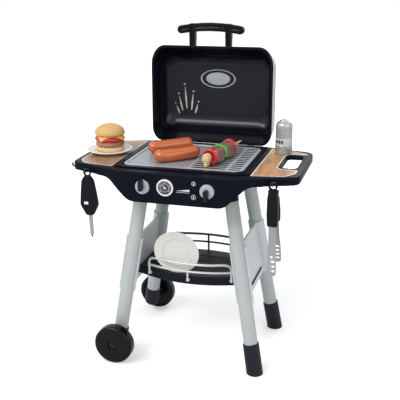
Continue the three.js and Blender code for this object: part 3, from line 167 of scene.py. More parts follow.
def side_place(side):
    """The plane of one side's legs, its Z running up between them."""
    return at(side * floor_x, 0, 0) @ Matrix.Rotation(-side * lean_x, 4, "Y")


def leg_place(side, end):
    """A leg's own frame: its Z along the leg, its origin on the floor."""
    return side_place(side) @ at(0, end * floor_y, 0) @ Matrix.Rotation(end * lean_y, 4, "X")


def moved(shape, place):
    """The shape, carried to a place."""
    bmesh.ops.transform(shape, matrix=place, verts=shape.verts)
    return shape


def outward(shape):
    """The shape with its faces pointing outwards."""
    bmesh.ops.recalc_face_normals(shape, faces=shape.faces)
    return shape


def turned(profile, steps=64):
    """A shape on a lathe from [radius, height, rounding] points, standing on Z."""
    shape = bmesh.new()
    points = [shape.verts.new((radius, 0, height)) for radius, height, *_ in profile]
    for pair in zip(points, points[1:]):
        shape.edges.new(pair)
    if (points[0].co - points[-1].co).length < 1e-6:
        bmesh.ops.weld_verts(shape, targetmap={points[-1]: points[0]})
        points.pop()
    for point, corner in zip(points, profile):
        if len(corner) > 2:
            bmesh.ops.bevel(shape, geom=[point], offset=corner[2], offset_type="OFFSET", segments=5,
                            profile=0.5, affect="VERTICES", material=-1)
    bmesh.ops.spin(shape, geom=shape.verts[:] + shape.edges[:], cent=(0, 0, 0), axis=(0, 0, 1),
                   dvec=(0, 0, 0), angle=2 * math.pi, steps=steps, use_merge=True, use_duplicate=False)
    bmesh.ops.remove_doubles(shape, verts=shape.verts, dist=0.001)
    return outward(shape)


def put(name, shape, materials, body, replaces=(), place=None, smooth=35, softened=0):
    """Makes a shape in millimetres a piece of the grill, in its place, and says what it stands for."""
    if place is not None:
        moved(shape, place)
    moved(shape, Matrix.Translation(home) @ Matrix.Scale(mm, 4))
    made = bpy.data.meshes.new(name)
    shape.to_mesh(made)
    shape.free()
    for material in materials if isinstance(materials, tuple) else (materials,):
        made.materials.append(material)
    made.shade_smooth()
    made.set_sharp_from_angle(angle=math.radians(smooth))
    piece = stood(name, made)
    if softened:
        bevel = piece.modifiers.new("softened", "BEVEL")
        bevel.width = softened * mm
        bevel.segments = 3
        bevel.limit_method = "ANGLE"
        bevel.angle_limit = math.radians(smooth)
        bevel.harden_normals = True
    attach(piece, body)
    if replaces:
        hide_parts(*replaces)


def moulded_surface():
    """Node group: the colour drift, gloss drift and fine spark-eroded grain of a moulded plastic."""
    group = bpy.data.node_groups.new("moulded_surface", "ShaderNodeTree")
    for label, kind, value in (
        ("Colour", "Color", (0.5, 0.5, 0.5, 1)), ("Drift", "Float", 0.08), ("Roughness", "Float", 0.4),
        ("Rough Drift", "Float", 0.1), ("Grain Size", "Float", 900.0), ("Grain", "Float", 0.1),
    ):
        socket = group.interface.new_socket(label, in_out="INPUT", socket_type="NodeSocket" + kind)
        socket.default_value = value
    for label, kind in (("Colour", "Color"), ("Roughness", "Float"), ("Normal", "Vector")):
        group.interface.new_socket(label, in_out="OUTPUT", socket_type="NodeSocket" + kind)
    given = group.nodes.new("NodeGroupInput").outputs
    where = wired(group, "TexCoord", {}, "Object")
    cloud = wired(group, "TexNoise", {"Scale": 14, "Detail": 4, "Vector": where}, "Fac")
    spread = wired(group, "MapRange", {"Value": cloud, "From Min": 0.25, "From Max": 0.75, "To Min": -1})
    factor = wired(group, "Math", {0: spread, 1: given["Drift"], 2: 1}, operation="MULTIPLY_ADD")
    smear = wired(group, "TexNoise", {"Scale": 45, "Detail": 5, "Distortion": 0.6, "Vector": where}, "Fac")
    centred = wired(group, "Math", {0: smear, 1: 0.5}, operation="SUBTRACT")
    grain = wired(group, "TexNoise", {"Scale": given["Grain Size"], "Detail": 2, "Vector": where}, "Fac")
    fill(group.nodes.new("NodeGroupOutput"), {
        "Colour": wired(group, "VectorMath", {0: given["Colour"], "Scale": factor}, operation="SCALE"),
        "Roughness": wired(group, "Math", {0: centred, 1: given["Rough Drift"], 2: given["Roughness"]},
                           operation="MULTIPLY_ADD"),
        "Normal": wired(group, "Bump", {"Strength": given["Grain"], "Distance": 0.0004, "Height": grain}),
    })
    return group


moulding_group = moulded_surface()


def plastic(name, colour, roughness, drift=0.06, rough_drift=0.12, grain_size=900, grain=0.1, coat=0.0,
            metallic=0.0, specular=0.5, subsurface=0.0):
    """A moulded plastic: its colour, gloss and grain drift a little over the piece."""
    material = bpy.data.materials.new(name)
    material.use_nodes = True
    skin = wired(material.node_tree, "Group", {
        "Colour": (*colour, 1), "Drift": drift, "Roughness": roughness, "Rough Drift": rough_drift,
        "Grain Size": grain_size, "Grain": grain}, node_tree=moulding_group).node.outputs
    shader = material.node_tree.nodes["Principled BSDF"]
    fill(shader, {"Base Color": skin["Colour"], "Roughness": skin["Roughness"], "Normal": skin["Normal"],
                  "Coat Weight": coat, "Coat Roughness": 0.06, "Metallic": metallic,
                  "Specular IOR Level": specular})
    if subsurface:
        fill(shader, {"Subsurface Weight": subsurface, "Subsurface Radius": (0.6, 0.35, 0.2),
                      "Subsurface Scale": 0.004})
    return material


leg_silver = plastic("leg_silver", (0.47, 0.50, 0.49), 0.40, drift=0.05, grain=0.14, grain_size=1400)
for side_name, side in sides.items():
    for end_name, end in ends.items():
        low, high = leg_low / leg_slope, leg_high / leg_slope
        tube = turned([(leg_bore, low), (leg_radius, low, 0.6), (leg_radius, high, 0.6), (leg_bore, high),
                       (leg_bore, low)])
        put(f"leg_tube_{end_name}_{side_name}", tube, leg_silver, "grill",
            [f"leg_{end_name}_{side_name}"], leg_place(side, end))


# Feet and wheel boots
# Dark sleeves pushed on the legs' lower ends. The right pair is cut level to stand on the floor, and
# the left pair ends rounded above it and carries a boss with the axle hole.
boot_radius, boot_top_radius, boot_top = 17, 16.7, 64 / leg_slope
boot_end, boot_round = 22 / leg_slope, 9
boss_radius, boss_bore, boss_inner, boss_outer = 9, 4.3, 98, 127.1
axle_x, axle_z = -144.5, 41.5
boot_mouth = [(boot_top_radius, boot_top, 1.2), (leg_bore, boot_top), (0, boot_top)]


def add(shape, *others):
    """Puts the meshes of other shapes into one shape."""
    for other in others:
        carried = bpy.data.meshes.new("carried")
        other.to_mesh(carried)
        other.free()
        shape.from_mesh(carried)
        bpy.data.meshes.remove(carried)
    return shape


boot_black = plastic("boot_black", (0.0095, 0.0105, 0.018), 0.46, grain=0.22, grain_size=1500, specular=0.25)
for end_name, end in ends.items():
    shape = moved(turned([(0, -9), (boot_radius, -9)] + boot_mouth), leg_place(1, end))
    cut = bmesh.ops.bisect_plane(shape, geom=shape.verts[:] + shape.edges[:] + shape.faces[:], dist=0.0001,
                                 plane_co=(0, 0, 0), plane_no=(0, 0, -1), clear_outer=True)
    rim = [edge for edge in cut["geom_cut"] if isinstance(edge, bmesh.types.BMEdge)]
    bmesh.ops.holes_fill(shape, edges=rim)
    put(f"foot_sleeve_{end_name}", shape, boot_black, "grill", [f"foot_{end_name}_right"])

    shape = turned([(0, boot_end), (boot_radius, boot_end, boot_round)] + boot_mouth)
    boss = turned([(0, boss_inner), (boss_radius, boss_inner), (boss_radius, boss_outer, 0.8),
                   (boss_bore, boss_outer), (boss_bore, boss_inner + 10), (0, boss_inner + 10)])
    add(moved(shape, leg_place(-1, end)), moved(boss, at(axle_x, 0, axle_z) @ swung(-90 * end, "X")))
    put(f"wheel_boot_{end_name}", shape, boot_black, "grill",
        [f"axle_boot_{end_name}_left"])


# Wheels
# One-piece gloss black wheels with a flat outer face, rounded shoulders and a sunk hub. A pin with a
# slotted head holds each on its boot and stays still while the wheel turns.
wheel_radius, wheel_width, wheel_inner_face = 41.5, 24, 127.5
wheel_bore, hub_sunk = 4.4, wheel_width - 4.2
pin_radius, pin_head_radius, pin_head_low = 4, 8.6, hub_sunk + 0.35


def cleaned(shape, reach):
    """The shape with its doubled points merged and its flat triangles joined."""
    bmesh.ops.remove_doubles(shape, verts=shape.verts, dist=reach)
    bmesh.ops.dissolve_limit(shape, angle_limit=math.radians(0.5), use_dissolve_boundaries=False,
                             verts=shape.verts, edges=shape.edges, delimit=set())
    return shape


def carved(shape, *tools):
    """The shape with tools cut out of it."""
    holders = []
    for part in (shape, *tools):
        part_mesh = bpy.data.meshes.new("blank")
        part.to_mesh(part_mesh)
        part.free()
        holders.append(stood("blank", part_mesh))
    for tool in holders[1:]:
        cut = holders[0].modifiers.new("cut", "BOOLEAN")
        cut.operation = "DIFFERENCE"
        cut.solver = "EXACT"
        cut.object = tool
    graph = bpy.context.evaluated_depsgraph_get()
    result = bmesh.new()
    result.from_mesh(holders[0].evaluated_get(graph).to_mesh())
    for holder in holders:
        bpy.data.objects.remove(holder)
    return cleaned(result, 0.001)


wheel_black = plastic("wheel_black", (0.0045, 0.0047, 0.0068), 0.12, rough_drift=0.1, grain=0.02,
                      specular=0.2)
pin_black = plastic("pin_black", (0.007, 0.007, 0.010), 0.34, grain=0.1, specular=0.3)
for end_name, end in ends.items():
    place = at(axle_x, end * wheel_inner_face, wheel_radius) @ swung(-90 * end, "X")
    disc = turned([
        (wheel_bore, 0), (11.6, 0, 0.8), (13, 3, 0.8), (31, 3, 1.2), (32.4, 0, 0.8), (wheel_radius, 0, 2.2),
        (wheel_radius, wheel_width - 1.6, 5.5), (34, wheel_width - 1.2, 3), (11, wheel_width, 1),
        (9.6, hub_sunk, 0.6), (wheel_bore, hub_sunk), (wheel_bore, 0)], steps=96)
    put(f"wheel_disc_{end_name}", disc, wheel_black, f"{end_name}_wheel",
        [f"wheel_{end_name}"], place, smooth=40)
    pin = turned([(0, -20), (pin_radius, -20, 0.8), (pin_radius, pin_head_low),
                  (pin_head_radius, pin_head_low), (pin_head_radius, pin_head_low + 1.5, 0.8),
                  (5, pin_head_low + 2.6, 1.5), (0, pin_head_low + 3)])
    notch = bmesh.new()
    bmesh.ops.create_cube(notch, size=1, matrix=at(0, 0, pin_head_low + 3.4) @ Matrix.Diagonal((2, 20, 4, 1)))
    put(f"axle_pin_piece_{end_name}", carved(pin, notch), pin_black, "grill",
        [f"axle_pin_{end_name}"], place)


# Side panels
# Pale grey webs between the front and the back leg of each side, clipped round both legs, with a
# slot through which the end of the shelf passes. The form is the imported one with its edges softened.
panel_grey = plastic("panel_grey", (0.60, 0.64, 0.645), 0.42, drift=0.04, grain=0.16, grain_size=1300)


def from_node(node):
    """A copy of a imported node's mesh with its loose triangles joined, in millimetres from the deck."""
    shape = bmesh.new()
    shape.from_mesh(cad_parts[node].data)
    return cleaned(moved(shape, Matrix.Scale(1 / mm, 4) @ Matrix.Translation(-home)), 0.002)


for side_name in sides:
    node = f"side_panel_{side_name}"
    put(f"side_web_{side_name}", from_node(node), panel_grey, "grill", [node], softened=0.6)


# Shelf
# A black tray with grooves along its top and bowed front and back lips. Tabs at its ends lie in the
# slots of the side panels, and its lips have holes for the feet of the rails.
shelf_black = plastic("shelf_black", (0.0075, 0.0085, 0.016), 0.40, grain=0.2, grain_size=1300, specular=0.12)
put("shelf_tray", from_node("shelf"), shelf_black, "grill", ["shelf"], softened=0.7)


# Shelf rails
# Two bent rods per side of the shelf, silver at the front and dark grey at the back, with three feet
# that plug into the lip. The back rod's dark grey is painted shade on what is the same silver plastic.
# A hoop forms the ends and the top, and a thinner bar runs below it.
shelf_top, shelf_half = 184.032, 118.5
bow = {-1: (-40, -69), 1: (55, 84)}
rail_radius, rail_corner, rail_feet_x, rail_stand = 2.7, 12, 89, 4.4
rail_base, rail_bar = shelf_top - 7.5, 0.85 * rail_radius
rails = {"front": (shelf_top + 28.5, shelf_top + 11.5), "back": (shelf_top + 35, shelf_top + 17)}
rail_silver = plastic("rail_silver", (0.60, 0.61, 0.61), 0.24, grain=0.03, coat=0.3, metallic=0.25)
# Painted shade: the back rod is coloured dark grey for the shade it stands in, though it is silver like the
# front one.
rail_dark = plastic("rail_dark", (0.065, 0.068, 0.075), 0.3, grain=0.03, coat=0.1)


def rod(points, radius):
    """A round rod bent smoothly through its points."""
    curve = bpy.data.curves.new("rod", "CURVE")
    curve.dimensions = "3D"
    curve.bevel_depth = radius
    curve.bevel_resolution = 4
    curve.use_fill_caps = True
    curve.resolution_u = 8
    spline = curve.splines.new("BEZIER")
    spline.bezier_points.add(len(points) - 1)
    for knot, point in zip(spline.bezier_points, points):
        knot.co = point
        knot.handle_left_type = knot.handle_right_type = "AUTO"
    holder = stood("rod", curve)
    bpy.context.view_layer.update()
    shape = bmesh.new()
    shape.from_mesh(holder.to_mesh())
    holder.to_mesh_clear()
    bpy.data.objects.remove(holder)
    bmesh.ops.remove_doubles(shape, verts=shape.verts, dist=0.001)
    return outward(shape)


def on_lip(end, x, out, z):
    """A point off the shelf's lip: along it at x, a distance out from it, and at a height."""
    edge, middle = bow[end]
    y = edge + (middle - edge) * (1 - (x / shelf_half) ** 2)
    angle = math.atan(-2 * (middle - edge) * x / shelf_half ** 2)
    return Vector((x - end * out * math.sin(angle), y + end * out * math.cos(angle), z)), angle


for (end_name, end), material, slot in zip(
        ends.items(), (rail_silver, rail_dark), ("rail_silver", "rail_dark")):
    top, low = rails[end_name]
    bend = rail_corner * (1 - math.sqrt(0.5))
    half = [
        (rail_feet_x, rail_base), (rail_feet_x, (rail_base + top - rail_corner) / 2),
        (rail_feet_x, top - rail_corner), (rail_feet_x - bend, top - bend),
        (rail_feet_x - rail_corner, top), (rail_feet_x * 0.6, top), (rail_feet_x * 0.3, top)]
    loop = half + [(0, top)] + [(-x, z) for x, z in reversed(half)]
    hoop = rod([on_lip(end, x, rail_stand, z)[0] for x, z in loop], rail_radius)
    bar = rod([on_lip(end, rail_feet_x * k / 4, rail_stand, low)[0] for k in range(-4, 5)], rail_bar)
    post = rod([on_lip(end, 0, rail_stand, z)[0] for z in (rail_base, (rail_base + top) / 2, top)], rail_bar)
    feet = []
    for x in (-rail_feet_x, 0, rail_feet_x):
        foot = turned([(0, -2.9), (2.3, -2.9), (2.3, 0.3), (4, 0.3, 0.5), (4, 1.7, 0.5), (3.3, 2.2, 0.6),
                       (3.3, 6.6, 1.4), (0, 7.7)], steps=24)
        spot, angle = on_lip(end, x, 0, rail_base)
        feet.append(moved(foot, at(*spot) @ Matrix.Rotation(angle, 4, "Z") @ swung(-90 * end, "X")))
    put(f"rail_rods_{end_name}", add(hoop, bar, post, *feet), material, "grill",
        [f"shelf_rail_{end_name}"], smooth=50)


# Deck
# One large black moulding carries everything: two side tables, a smile-shaped front apron and hinge
# cheeks at the back. At the right table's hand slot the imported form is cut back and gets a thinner
# wall, with a step below the table's top.
deck_black = plastic("deck_black", (0.0046, 0.0064, 0.0120), 0.34, drift=0.1, grain=0.12, grain_size=1100,
                     specular=0.05)


def outline(corners, z=0, segments=8):
    """A flat face from [x, y, radius] corners, anticlockwise, with its corners rounded."""
    shape = bmesh.new()
    points = [shape.verts.new((x, y, z)) for x, y, _ in corners]
    shape.faces.new(points)
    reaches = []
    for i, (x, y, radius) in enumerate(corners):
        here = Vector((x, y))
        back = Vector(corners[i - 1][:2]) - here
        ahead = Vector(corners[(i + 1) % len(corners)][:2]) - here
        reaches.append(min(radius / math.tan(back.angle(ahead) / 2), back.length * 0.49, ahead.length * 0.49))
    for point, reach in zip(points, reaches):
        if reach > 0.01:
            bmesh.ops.bevel(shape, geom=[point], offset=reach, offset_type="OFFSET", segments=segments,
                            profile=0.5, affect="VERTICES", material=-1)
    return shape


def slab(corners, low, high, segments=8):
    """A flat-topped solid of an outline between two heights."""
    shape = outline(corners, low, segments)
    raised = bmesh.ops.extrude_face_region(shape, geom=shape.faces[:])
    lifted = [item for item in raised["geom"] if isinstance(item, bmesh.types.BMVert)]
    bmesh.ops.translate(shape, verts=lifted, vec=(0, 0, high - low))
    return outward(shape)


def oblong(half_x, half_y, radius, centre_x=0, centre_y=0):
    """The corners of an oblong with rounded corners, for an outline."""
    return [(centre_x + half_x, centre_y - half_y, radius), (centre_x + half_x, centre_y + half_y, radius),
            (centre_x - half_x, centre_y + half_y, radius), (centre_x - half_x, centre_y - half_y, radius)]


def mirrored(*half):
    """A whole outline from the corners of its right half."""
    return [*half] + [(-x, y, radius) for x, y, radius in reversed(half)]


inlay_edge, slot_edge, slot_y, step_z, recess_z = 180, 183.5, -0.5, 417.5, 423.6
recess = [(160, -80, 0), (215, -80, 0), (215, -56.65, 3), (inlay_edge + 0.35, -56.65, 16),
          (inlay_edge + 0.35, 58.65, 16), (215, 58.65, 3), (215, 64, 0), (160, 64, 0)]
deck = carved(from_node("deck_shell"), slab(oblong(21, 64, 6, 199, 14), 400, step_z),
              slab(recess, recess_z, 430))
slot_wall = carved(slab(oblong(15, 49, 1, 186.5, slot_y), step_z, 425.95),
                   slab(oblong(24, 47.5, 12, slot_edge + 24, slot_y), 410, 430), slab(recess, recess_z, 430))
put("deck_moulding", add(deck, slot_wall), deck_black, "grill", ["deck_shell"], softened=1.2)


# Burner box and cooking plate
# A black basin with a raised double rim is let into the deck. On its ledge lies the silver plate,
# smooth and slightly sunk on the left and slotted as a grate on the right. The walls of its slots are
# coloured black as painted shade in the slots.
box_black = plastic("box_black", (0.0034, 0.0042, 0.0080), 0.34, grain=0.06, specular=0.09)
put("burner_basin", from_node("burner_box"), box_black, "grill", ["burner_box"],
    softened=0.6)

plate_length, plate_depth, plate_y = 245, 193, -12
plate_high, plate_thick, griddle_sink, plate_edge = 428.8, 6, 1.6, 5
grate_start, grate_rib, rib_half = 13.5, 90, 3.5
slot_pitch, slot_width, slot_margin = 13.6, 6.2, 7
plate_low = plate_high - plate_thick

plate = slab(oblong(plate_length / 2, plate_depth / 2, 19, 0, plate_y), plate_low, plate_high)
sunk_left, sunk_right = plate_edge - plate_length / 2, grate_start - rib_half / 2
griddle = slab(oblong((sunk_right - sunk_left) / 2, plate_depth / 2 - plate_edge, 14,
                      (sunk_left + sunk_right) / 2, plate_y), plate_high - griddle_sink, plate_high + 2)
bays = ((grate_start + rib_half, grate_rib - rib_half),
        (grate_rib + rib_half, plate_length / 2 - slot_margin))
rows = int((plate_depth - 2 * slot_margin) // slot_pitch)
slots = bmesh.new()
for row in range(rows):
    y = plate_y + (row - (rows - 1) / 2) * slot_pitch
    for low, high in bays:
        add(slots, slab(oblong((high - low) / 2, slot_width / 2, slot_width * 0.49, (low + high) / 2, y),
                        plate_low - 2, plate_high + 2, segments=4))
plate_silver = plastic("plate_silver", (0.56, 0.59, 0.62), 0.36, drift=0.05, grain=0.3, grain_size=1600,
                       metallic=0.35)
griddle_silver = plastic("griddle_silver", (0.33, 0.37, 0.41), 0.38, drift=0.07, grain=0.12, grain_size=1600,
                         metallic=0.2)
plate = carved(plate, griddle, slots)
plate.normal_update()
# The grate's slot walls take the basin's black as painted shade in the slots; the sunk floor takes the
# griddle grey.
for face in plate.faces:
    middle = face.calc_center_median()
    in_grate = grate_start < middle.x < plate_length / 2 - 2 and abs(middle.y - plate_y) < plate_depth / 2 - 2
    is_floor = (face.normal.z > 0.5 and middle.x < sunk_right
                and plate_high - griddle_sink - 0.1 < middle.z < plate_high - 0.1)
    face.material_index = 2 if is_floor else int(in_grate and abs(face.normal.z) < 0.5)
put("cooking_plate_piece", plate, (plate_silver, box_black, griddle_silver), "grill",
    ["cooking_plate"], softened=0.4)


# Table panels
# A thin panel printed with wood grain is let into each table. A white line is printed round its
# edge, and a thin black gap is left to the deck.
table_z, panel_depth, white_line = 426, 2.3, 2.8


def wood_print(name, turn, tones):
    """Printed wood: straight grain at a turn from Y, broad bands, fine pores, under a clear satin coat."""
    material = bpy.data.materials.new(name)
    material.use_nodes = True
    tree = material.node_tree
    along = wired(tree, "Mapping", {"Vector": wired(tree, "TexCoord", {}, "Object"), "Scale": (1, 0.10, 1),
                                    "Rotation": (0, 0, math.radians(turn))})
    bands = wired(tree, "TexNoise", {"Vector": along, "Scale": 75, "Detail": 6, "Roughness": 0.62,
                                     "Distortion": 0.9}, "Fac")
    tinted = wired(tree, "ValToRGB", {"Fac": bands}, "Color")
    ramp = tinted.node.color_ramp.elements
    ramp.new(0.5)
    for stop, position, tone in zip(ramp, (0.28, 0.5, 0.72), tones):
        stop.position = position
        stop.color = (*tone, 1)
    pores = wired(tree, "TexNoise", {"Vector": along, "Scale": 420, "Detail": 3}, "Fac")
    streak = wired(tree, "MapRange", {"Value": pores, "From Min": 0.35, "From Max": 0.55, "To Min": 0.72,
                                      "To Max": 1.0})
    fill(tree.nodes["Principled BSDF"], {
        "Base Color": wired(tree, "VectorMath", {0: tinted, "Scale": streak}, operation="SCALE"),
        "Roughness": wired(tree, "MapRange", {"Value": bands, "To Min": 0.34, "To Max": 0.5}),
        "Normal": wired(tree, "Bump", {"Strength": 0.12, "Distance": 0.0002, "Height": pores}),
        "Coat Weight": 0.25, "Coat Roughness": 0.18})
    return material


woods = {
    "left": wood_print("wood_print_dark", 2,
                       ((0.18, 0.085, 0.042), (0.38, 0.21, 0.115), (0.54, 0.33, 0.19))),
    "right": wood_print("wood_print_light", 88,
                        ((0.27, 0.105, 0.034), (0.53, 0.25, 0.09), (0.68, 0.37, 0.14))),
}
line_white = plastic("line_white", (0.74, 0.73, 0.70), 0.35, grain=0.04)
panel_corners = {
    "right": [(141, -117, 3), (206.24, -106, 20), (221.9, -82, 8), (221.9, -57, 3), (inlay_edge, -57, 16),
              (inlay_edge, 59, 16), (221.9, 59, 3), (221.9, 67, 3), (184.02, 87, 30), (141, 95, 3)],
    "left": [(-141, 95, 3), (-184.02, 87, 30), (-221.9, 67, 8), (-221.9, -82, 8), (-206.24, -106, 20),
             (-141, -117, 3)],
}
for side_name, corners in panel_corners.items():
    panel = slab(corners, table_z - panel_depth + 0.3, table_z, segments=6)
    panel.normal_update()
    top = [face for face in panel.faces if face.normal.z > 0.9]
    bmesh.ops.inset_region(panel, faces=top, thickness=white_line, use_even_offset=True, use_boundary=True)
    for face in panel.faces:
        face.material_index = 1
    for face in top:
        face.material_index = 0
    put(f"table_panel_{side_name}", panel, (woods[side_name], line_white), "grill",
        [f"{side_name}_table_inlay"], smooth=30)


# Knobs
# Each is a grey domed disc with a black bar grip that overhangs its edge as the pointer. Their shafts
# go through the apron and are stopped behind it. The right one is turned half round.
knob_x, knob_z, knob_radius, knob_disc, knob_bore = 65, 397.5, 14.5, 5.5, 4.35
apron_gap = 0.3
facing = swung(90, "X")
knob_grey = plastic("knob_grey", (0.42, 0.45, 0.47), 0.36, grain=0.12)
grip_black = plastic("grip_black", (0.004, 0.004, 0.006), 0.22, grain=0.05, specular=0.3)
for side_name, side, turn in (("left", -1, 0), ("right", 1, 180)):
    place = at(side * knob_x, deck_front_y - apron_gap, knob_z) @ swung(turn, "Y") @ facing
    disc = turned([(knob_bore, 0), (knob_radius, 0, 0.6), (knob_radius - 0.6, knob_disc - 0.4, 1.6),
                   (knob_bore, knob_disc), (knob_bore, 0)])
    put(f"knob_disc_{side_name}", disc, knob_grey, f"knob_{side_name}",
        [f"knob_{side_name}_disc"], place)
    shaft = turned([(0, -5.75), (6.5, -5.75), (6.5, -3.35), (4, -3.35), (4, 6.7), (0, 6.7)], steps=32)
    grip = slab(mirrored((4.8, -6, 4.5), (4.3, 16, 1.9)), 5.85, 15.85)
    put(f"knob_pointer_{side_name}", add(grip, shaft), grip_black, f"knob_{side_name}",
        [f"knob_{side_name}_grip"], place, softened=1.3)


# Dial
# A white ring pressed on the apron round a dark printed face, with a plain scale and a needle.
dial_x, dial_z, dial_radius, face_radius, face_high = -19, 399, 16.8, 13.3, 2.4
dial_place = at(dial_x, deck_front_y - apron_gap, dial_z) @ facing
dial_white = plastic("dial_white", (0.80, 0.80, 0.79), 0.3, grain=0.04)
dial_dark = plastic("dial_dark", (0.035, 0.032, 0.034), 0.34, grain=0.06, coat=0.4)
print_white = plastic("print_white", (0.72, 0.73, 0.74), 0.42, grain=0.03)
bezel = turned([(0, 0), (dial_radius, 0), (dial_radius, 3.4, 1.3), (face_radius + 0.3, 3.4, 0.9),
                (face_radius + 0.3, 1.1), (0, 1.1)])
put("dial_ring", bezel, dial_white, "grill", ["dial_bezel"], dial_place)
put("dial_plate", turned([(0, 1.4), (face_radius, 1.4), (face_radius, face_high, 0.2), (0, face_high)]),
    dial_dark, "grill", ["dial_face"], dial_place)
marks = bmesh.new()
for k in range(21):
    mark_length, mark_half = (3.0, 0.42) if k % 5 == 0 else (1.5, 0.22)
    mark = slab(oblong(mark_half, mark_length / 2, 0, 0, face_radius - 1.6 - mark_length / 2), face_high, 2.5)
    add(marks, moved(mark, swung(130 - 13 * k, "Z")))
needle = slab(mirrored((0.9, -3.2, 0.3), (0.25, 8.6, 0.1)), 2.5, 2.8)
hub = turned([(0, 2.5), (1.9, 2.5), (1.9, 3.1, 0.3), (0, 3.1)], steps=32)
arc = turned([(7.9, face_high), (8.3, face_high), (8.3, 2.48), (7.9, 2.48), (7.9, face_high)])
put("dial_marks", add(marks, moved(needle, swung(38, "Z")), hub, arc), print_white, "grill",
    place=dial_place)


# Prints on the apron
# Small plain white signs: a ring with a drop by each end of a rising wedge, for less and more heat.
sign_ink = 0.15
signs = bmesh.new()
for x, z, size in ((38.3, 410.7, 4.2), (37.6, 383.9, 4.9)):
    inner = size - 0.7
    ring = turned([(inner, 0), (size, 0), (size, sign_ink), (inner, sign_ink), (inner, 0)], steps=40)
    drop = slab([(size * 0.42, -size * 0.5, size * 0.3), (0, size * 0.72, 0.2),
                 (-size * 0.42, -size * 0.5, size * 0.3)], 0, sign_ink)
    add(signs, moved(ring, at(x, z, 0)), moved(drop, at(x, z, 0)))
add(signs, slab([(3, 394.4, 0.1), (30, 394.4, 0.1), (30, 398.4, 0.1)], 0, sign_ink),
    slab(oblong(13.5, 0.35, 0.1, 16.5, 391.6), 0, sign_ink))
put("apron_prints", signs, print_white, "grill", place=at(0, deck_front_y, 0) @ facing)


# Lid
# A silver outer shell over a black liner whose flange makes the rim. Both are drawn closed, from the
# hinge axis, and turned open. Lugs at the back carry the stub pins.
lid_length, lid_depth, lid_front = 271, 210.6, -215.6
lid_middle_y = lid_front + lid_depth / 2
corner_front, corner_rear, lid_straight, lid_inset_x, lid_inset_y = 23, 17, 32, 30, 43
draft_x, draft_y = 0.5, 10.7
rim_rise, lid_top, rim_thick = 8, 82, 2.2
shell_wall, liner_wall, seat = 2.5, 2.0, 0.3
hinge_x, hinge_y, hinge_z, lid_open = 88, 101.5, 421.8, -92.3
lid_place = at(0, hinge_y, hinge_z) @ swung(lid_open, "X")
lid_silver = plastic("lid_silver", (0.47, 0.50, 0.50), 0.36, drift=0.05, grain=0.14, grain_size=1400)
lid_black = plastic("lid_black", (0.0038, 0.0042, 0.0088), 0.23, drift=0.1, rough_drift=0.05, grain=0.03,
                    specular=0.33)
rim_black = plastic("rim_black", (0.0040, 0.0044, 0.0085), 0.5, grain=0.1, specular=0.1)


def dome(offset, start, steps=14):
    """Half sizes and heights of a dome's rings: a drafted band, then an elliptical shoulder."""
    rings = [(0, 0, start)]
    shoulder = rim_rise + lid_straight
    for k in range(steps + 1):
        angle = math.pi / 2 * k / steps
        share = 1 - math.cos(angle)
        rings.append((draft_x + (lid_inset_x - draft_x) * share, draft_y + (lid_inset_y - draft_y) * share,
                      shoulder + (lid_top - offset - shoulder) * math.sin(angle)))
    return [(lid_length / 2 - offset - in_x, lid_depth / 2 - offset - in_y, z) for in_x, in_y, z in rings]


def dome_skin(rings):
    """A closed skin drawn through rings: one rounded outline, extruded and resized from ring to ring."""
    half_x, half_y, z = rings[0]
    shape = outline([(half_x, -half_y, corner_front), (half_x, half_y, corner_rear),
                     (-half_x, half_y, corner_rear), (-half_x, -half_y, corner_front)], z, segments=10)
    edge = shape.edges[:]
    for next_x, next_y, next_z in rings[1:]:
        drawn = bmesh.ops.extrude_edge_only(shape, edges=edge)["geom"]
        edge = [item for item in drawn if isinstance(item, bmesh.types.BMEdge)]
        verts = [item for item in drawn if isinstance(item, bmesh.types.BMVert)]
        bmesh.ops.scale(shape, verts=verts, vec=(next_x / half_x, next_y / half_y, 1))
        bmesh.ops.translate(shape, verts=verts, vec=(0, 0, next_z - z))
        half_x, half_y, z = next_x, next_y, next_z
    bmesh.ops.holes_fill(shape, edges=edge)
    bmesh.ops.translate(shape, verts=shape.verts, vec=(0, lid_middle_y, 0))
    return outward(shape)


start = rim_rise + rim_thick + seat
shell = dome_skin(dome(shell_wall, start)[::-1] + dome(0, start))
for side in sides.values():
    lug = slab(oblong(6.5, 2.2, 0.6, side * hinge_x, -2.6), 0, start + 13, segments=3)
    root = slab(oblong(6.5, 4, 0.6, side * hinge_x, -6), start + 2, start + 13, segments=3)
    barrel = turned([(0, -6.5), (4.5, -6.5, 0.4), (4.5, 6.5, 0.4), (0, 6.5)], steps=40)
    stub = turned([(0, -11.5), (2.2, -11.5, 0.4), (2.2, 11.5, 0.4), (0, 11.5)], steps=32)
    across = at(side * hinge_x, 0, 0) @ swung(90, "Y")
    add(shell, lug, root, moved(barrel, across), moved(stub, across))
put("lid_cover", shell, lid_silver, "lid", ["lid_shell"], lid_place, smooth=40)

flange = [(lid_length / 2 - cut, lid_depth / 2 - cut, z) for cut, z in (
    (2, rim_rise), (0.6, rim_rise), (0.17, rim_rise + 0.18), (0, rim_rise + 0.6), (0, rim_rise + rim_thick))]
liner = dome_skin(dome(shell_wall + seat + liner_wall, rim_rise)[::-1] + flange
                  + dome(shell_wall + seat, rim_rise + rim_thick))
for face in liner.faces:
    face.material_index = int(max(vert.co.z for vert in face.verts) < rim_rise + rim_thick + 0.1)
put("lid_lining", liner, (lid_black, rim_black), "lid", ["lid_liner"], lid_place, smooth=40)


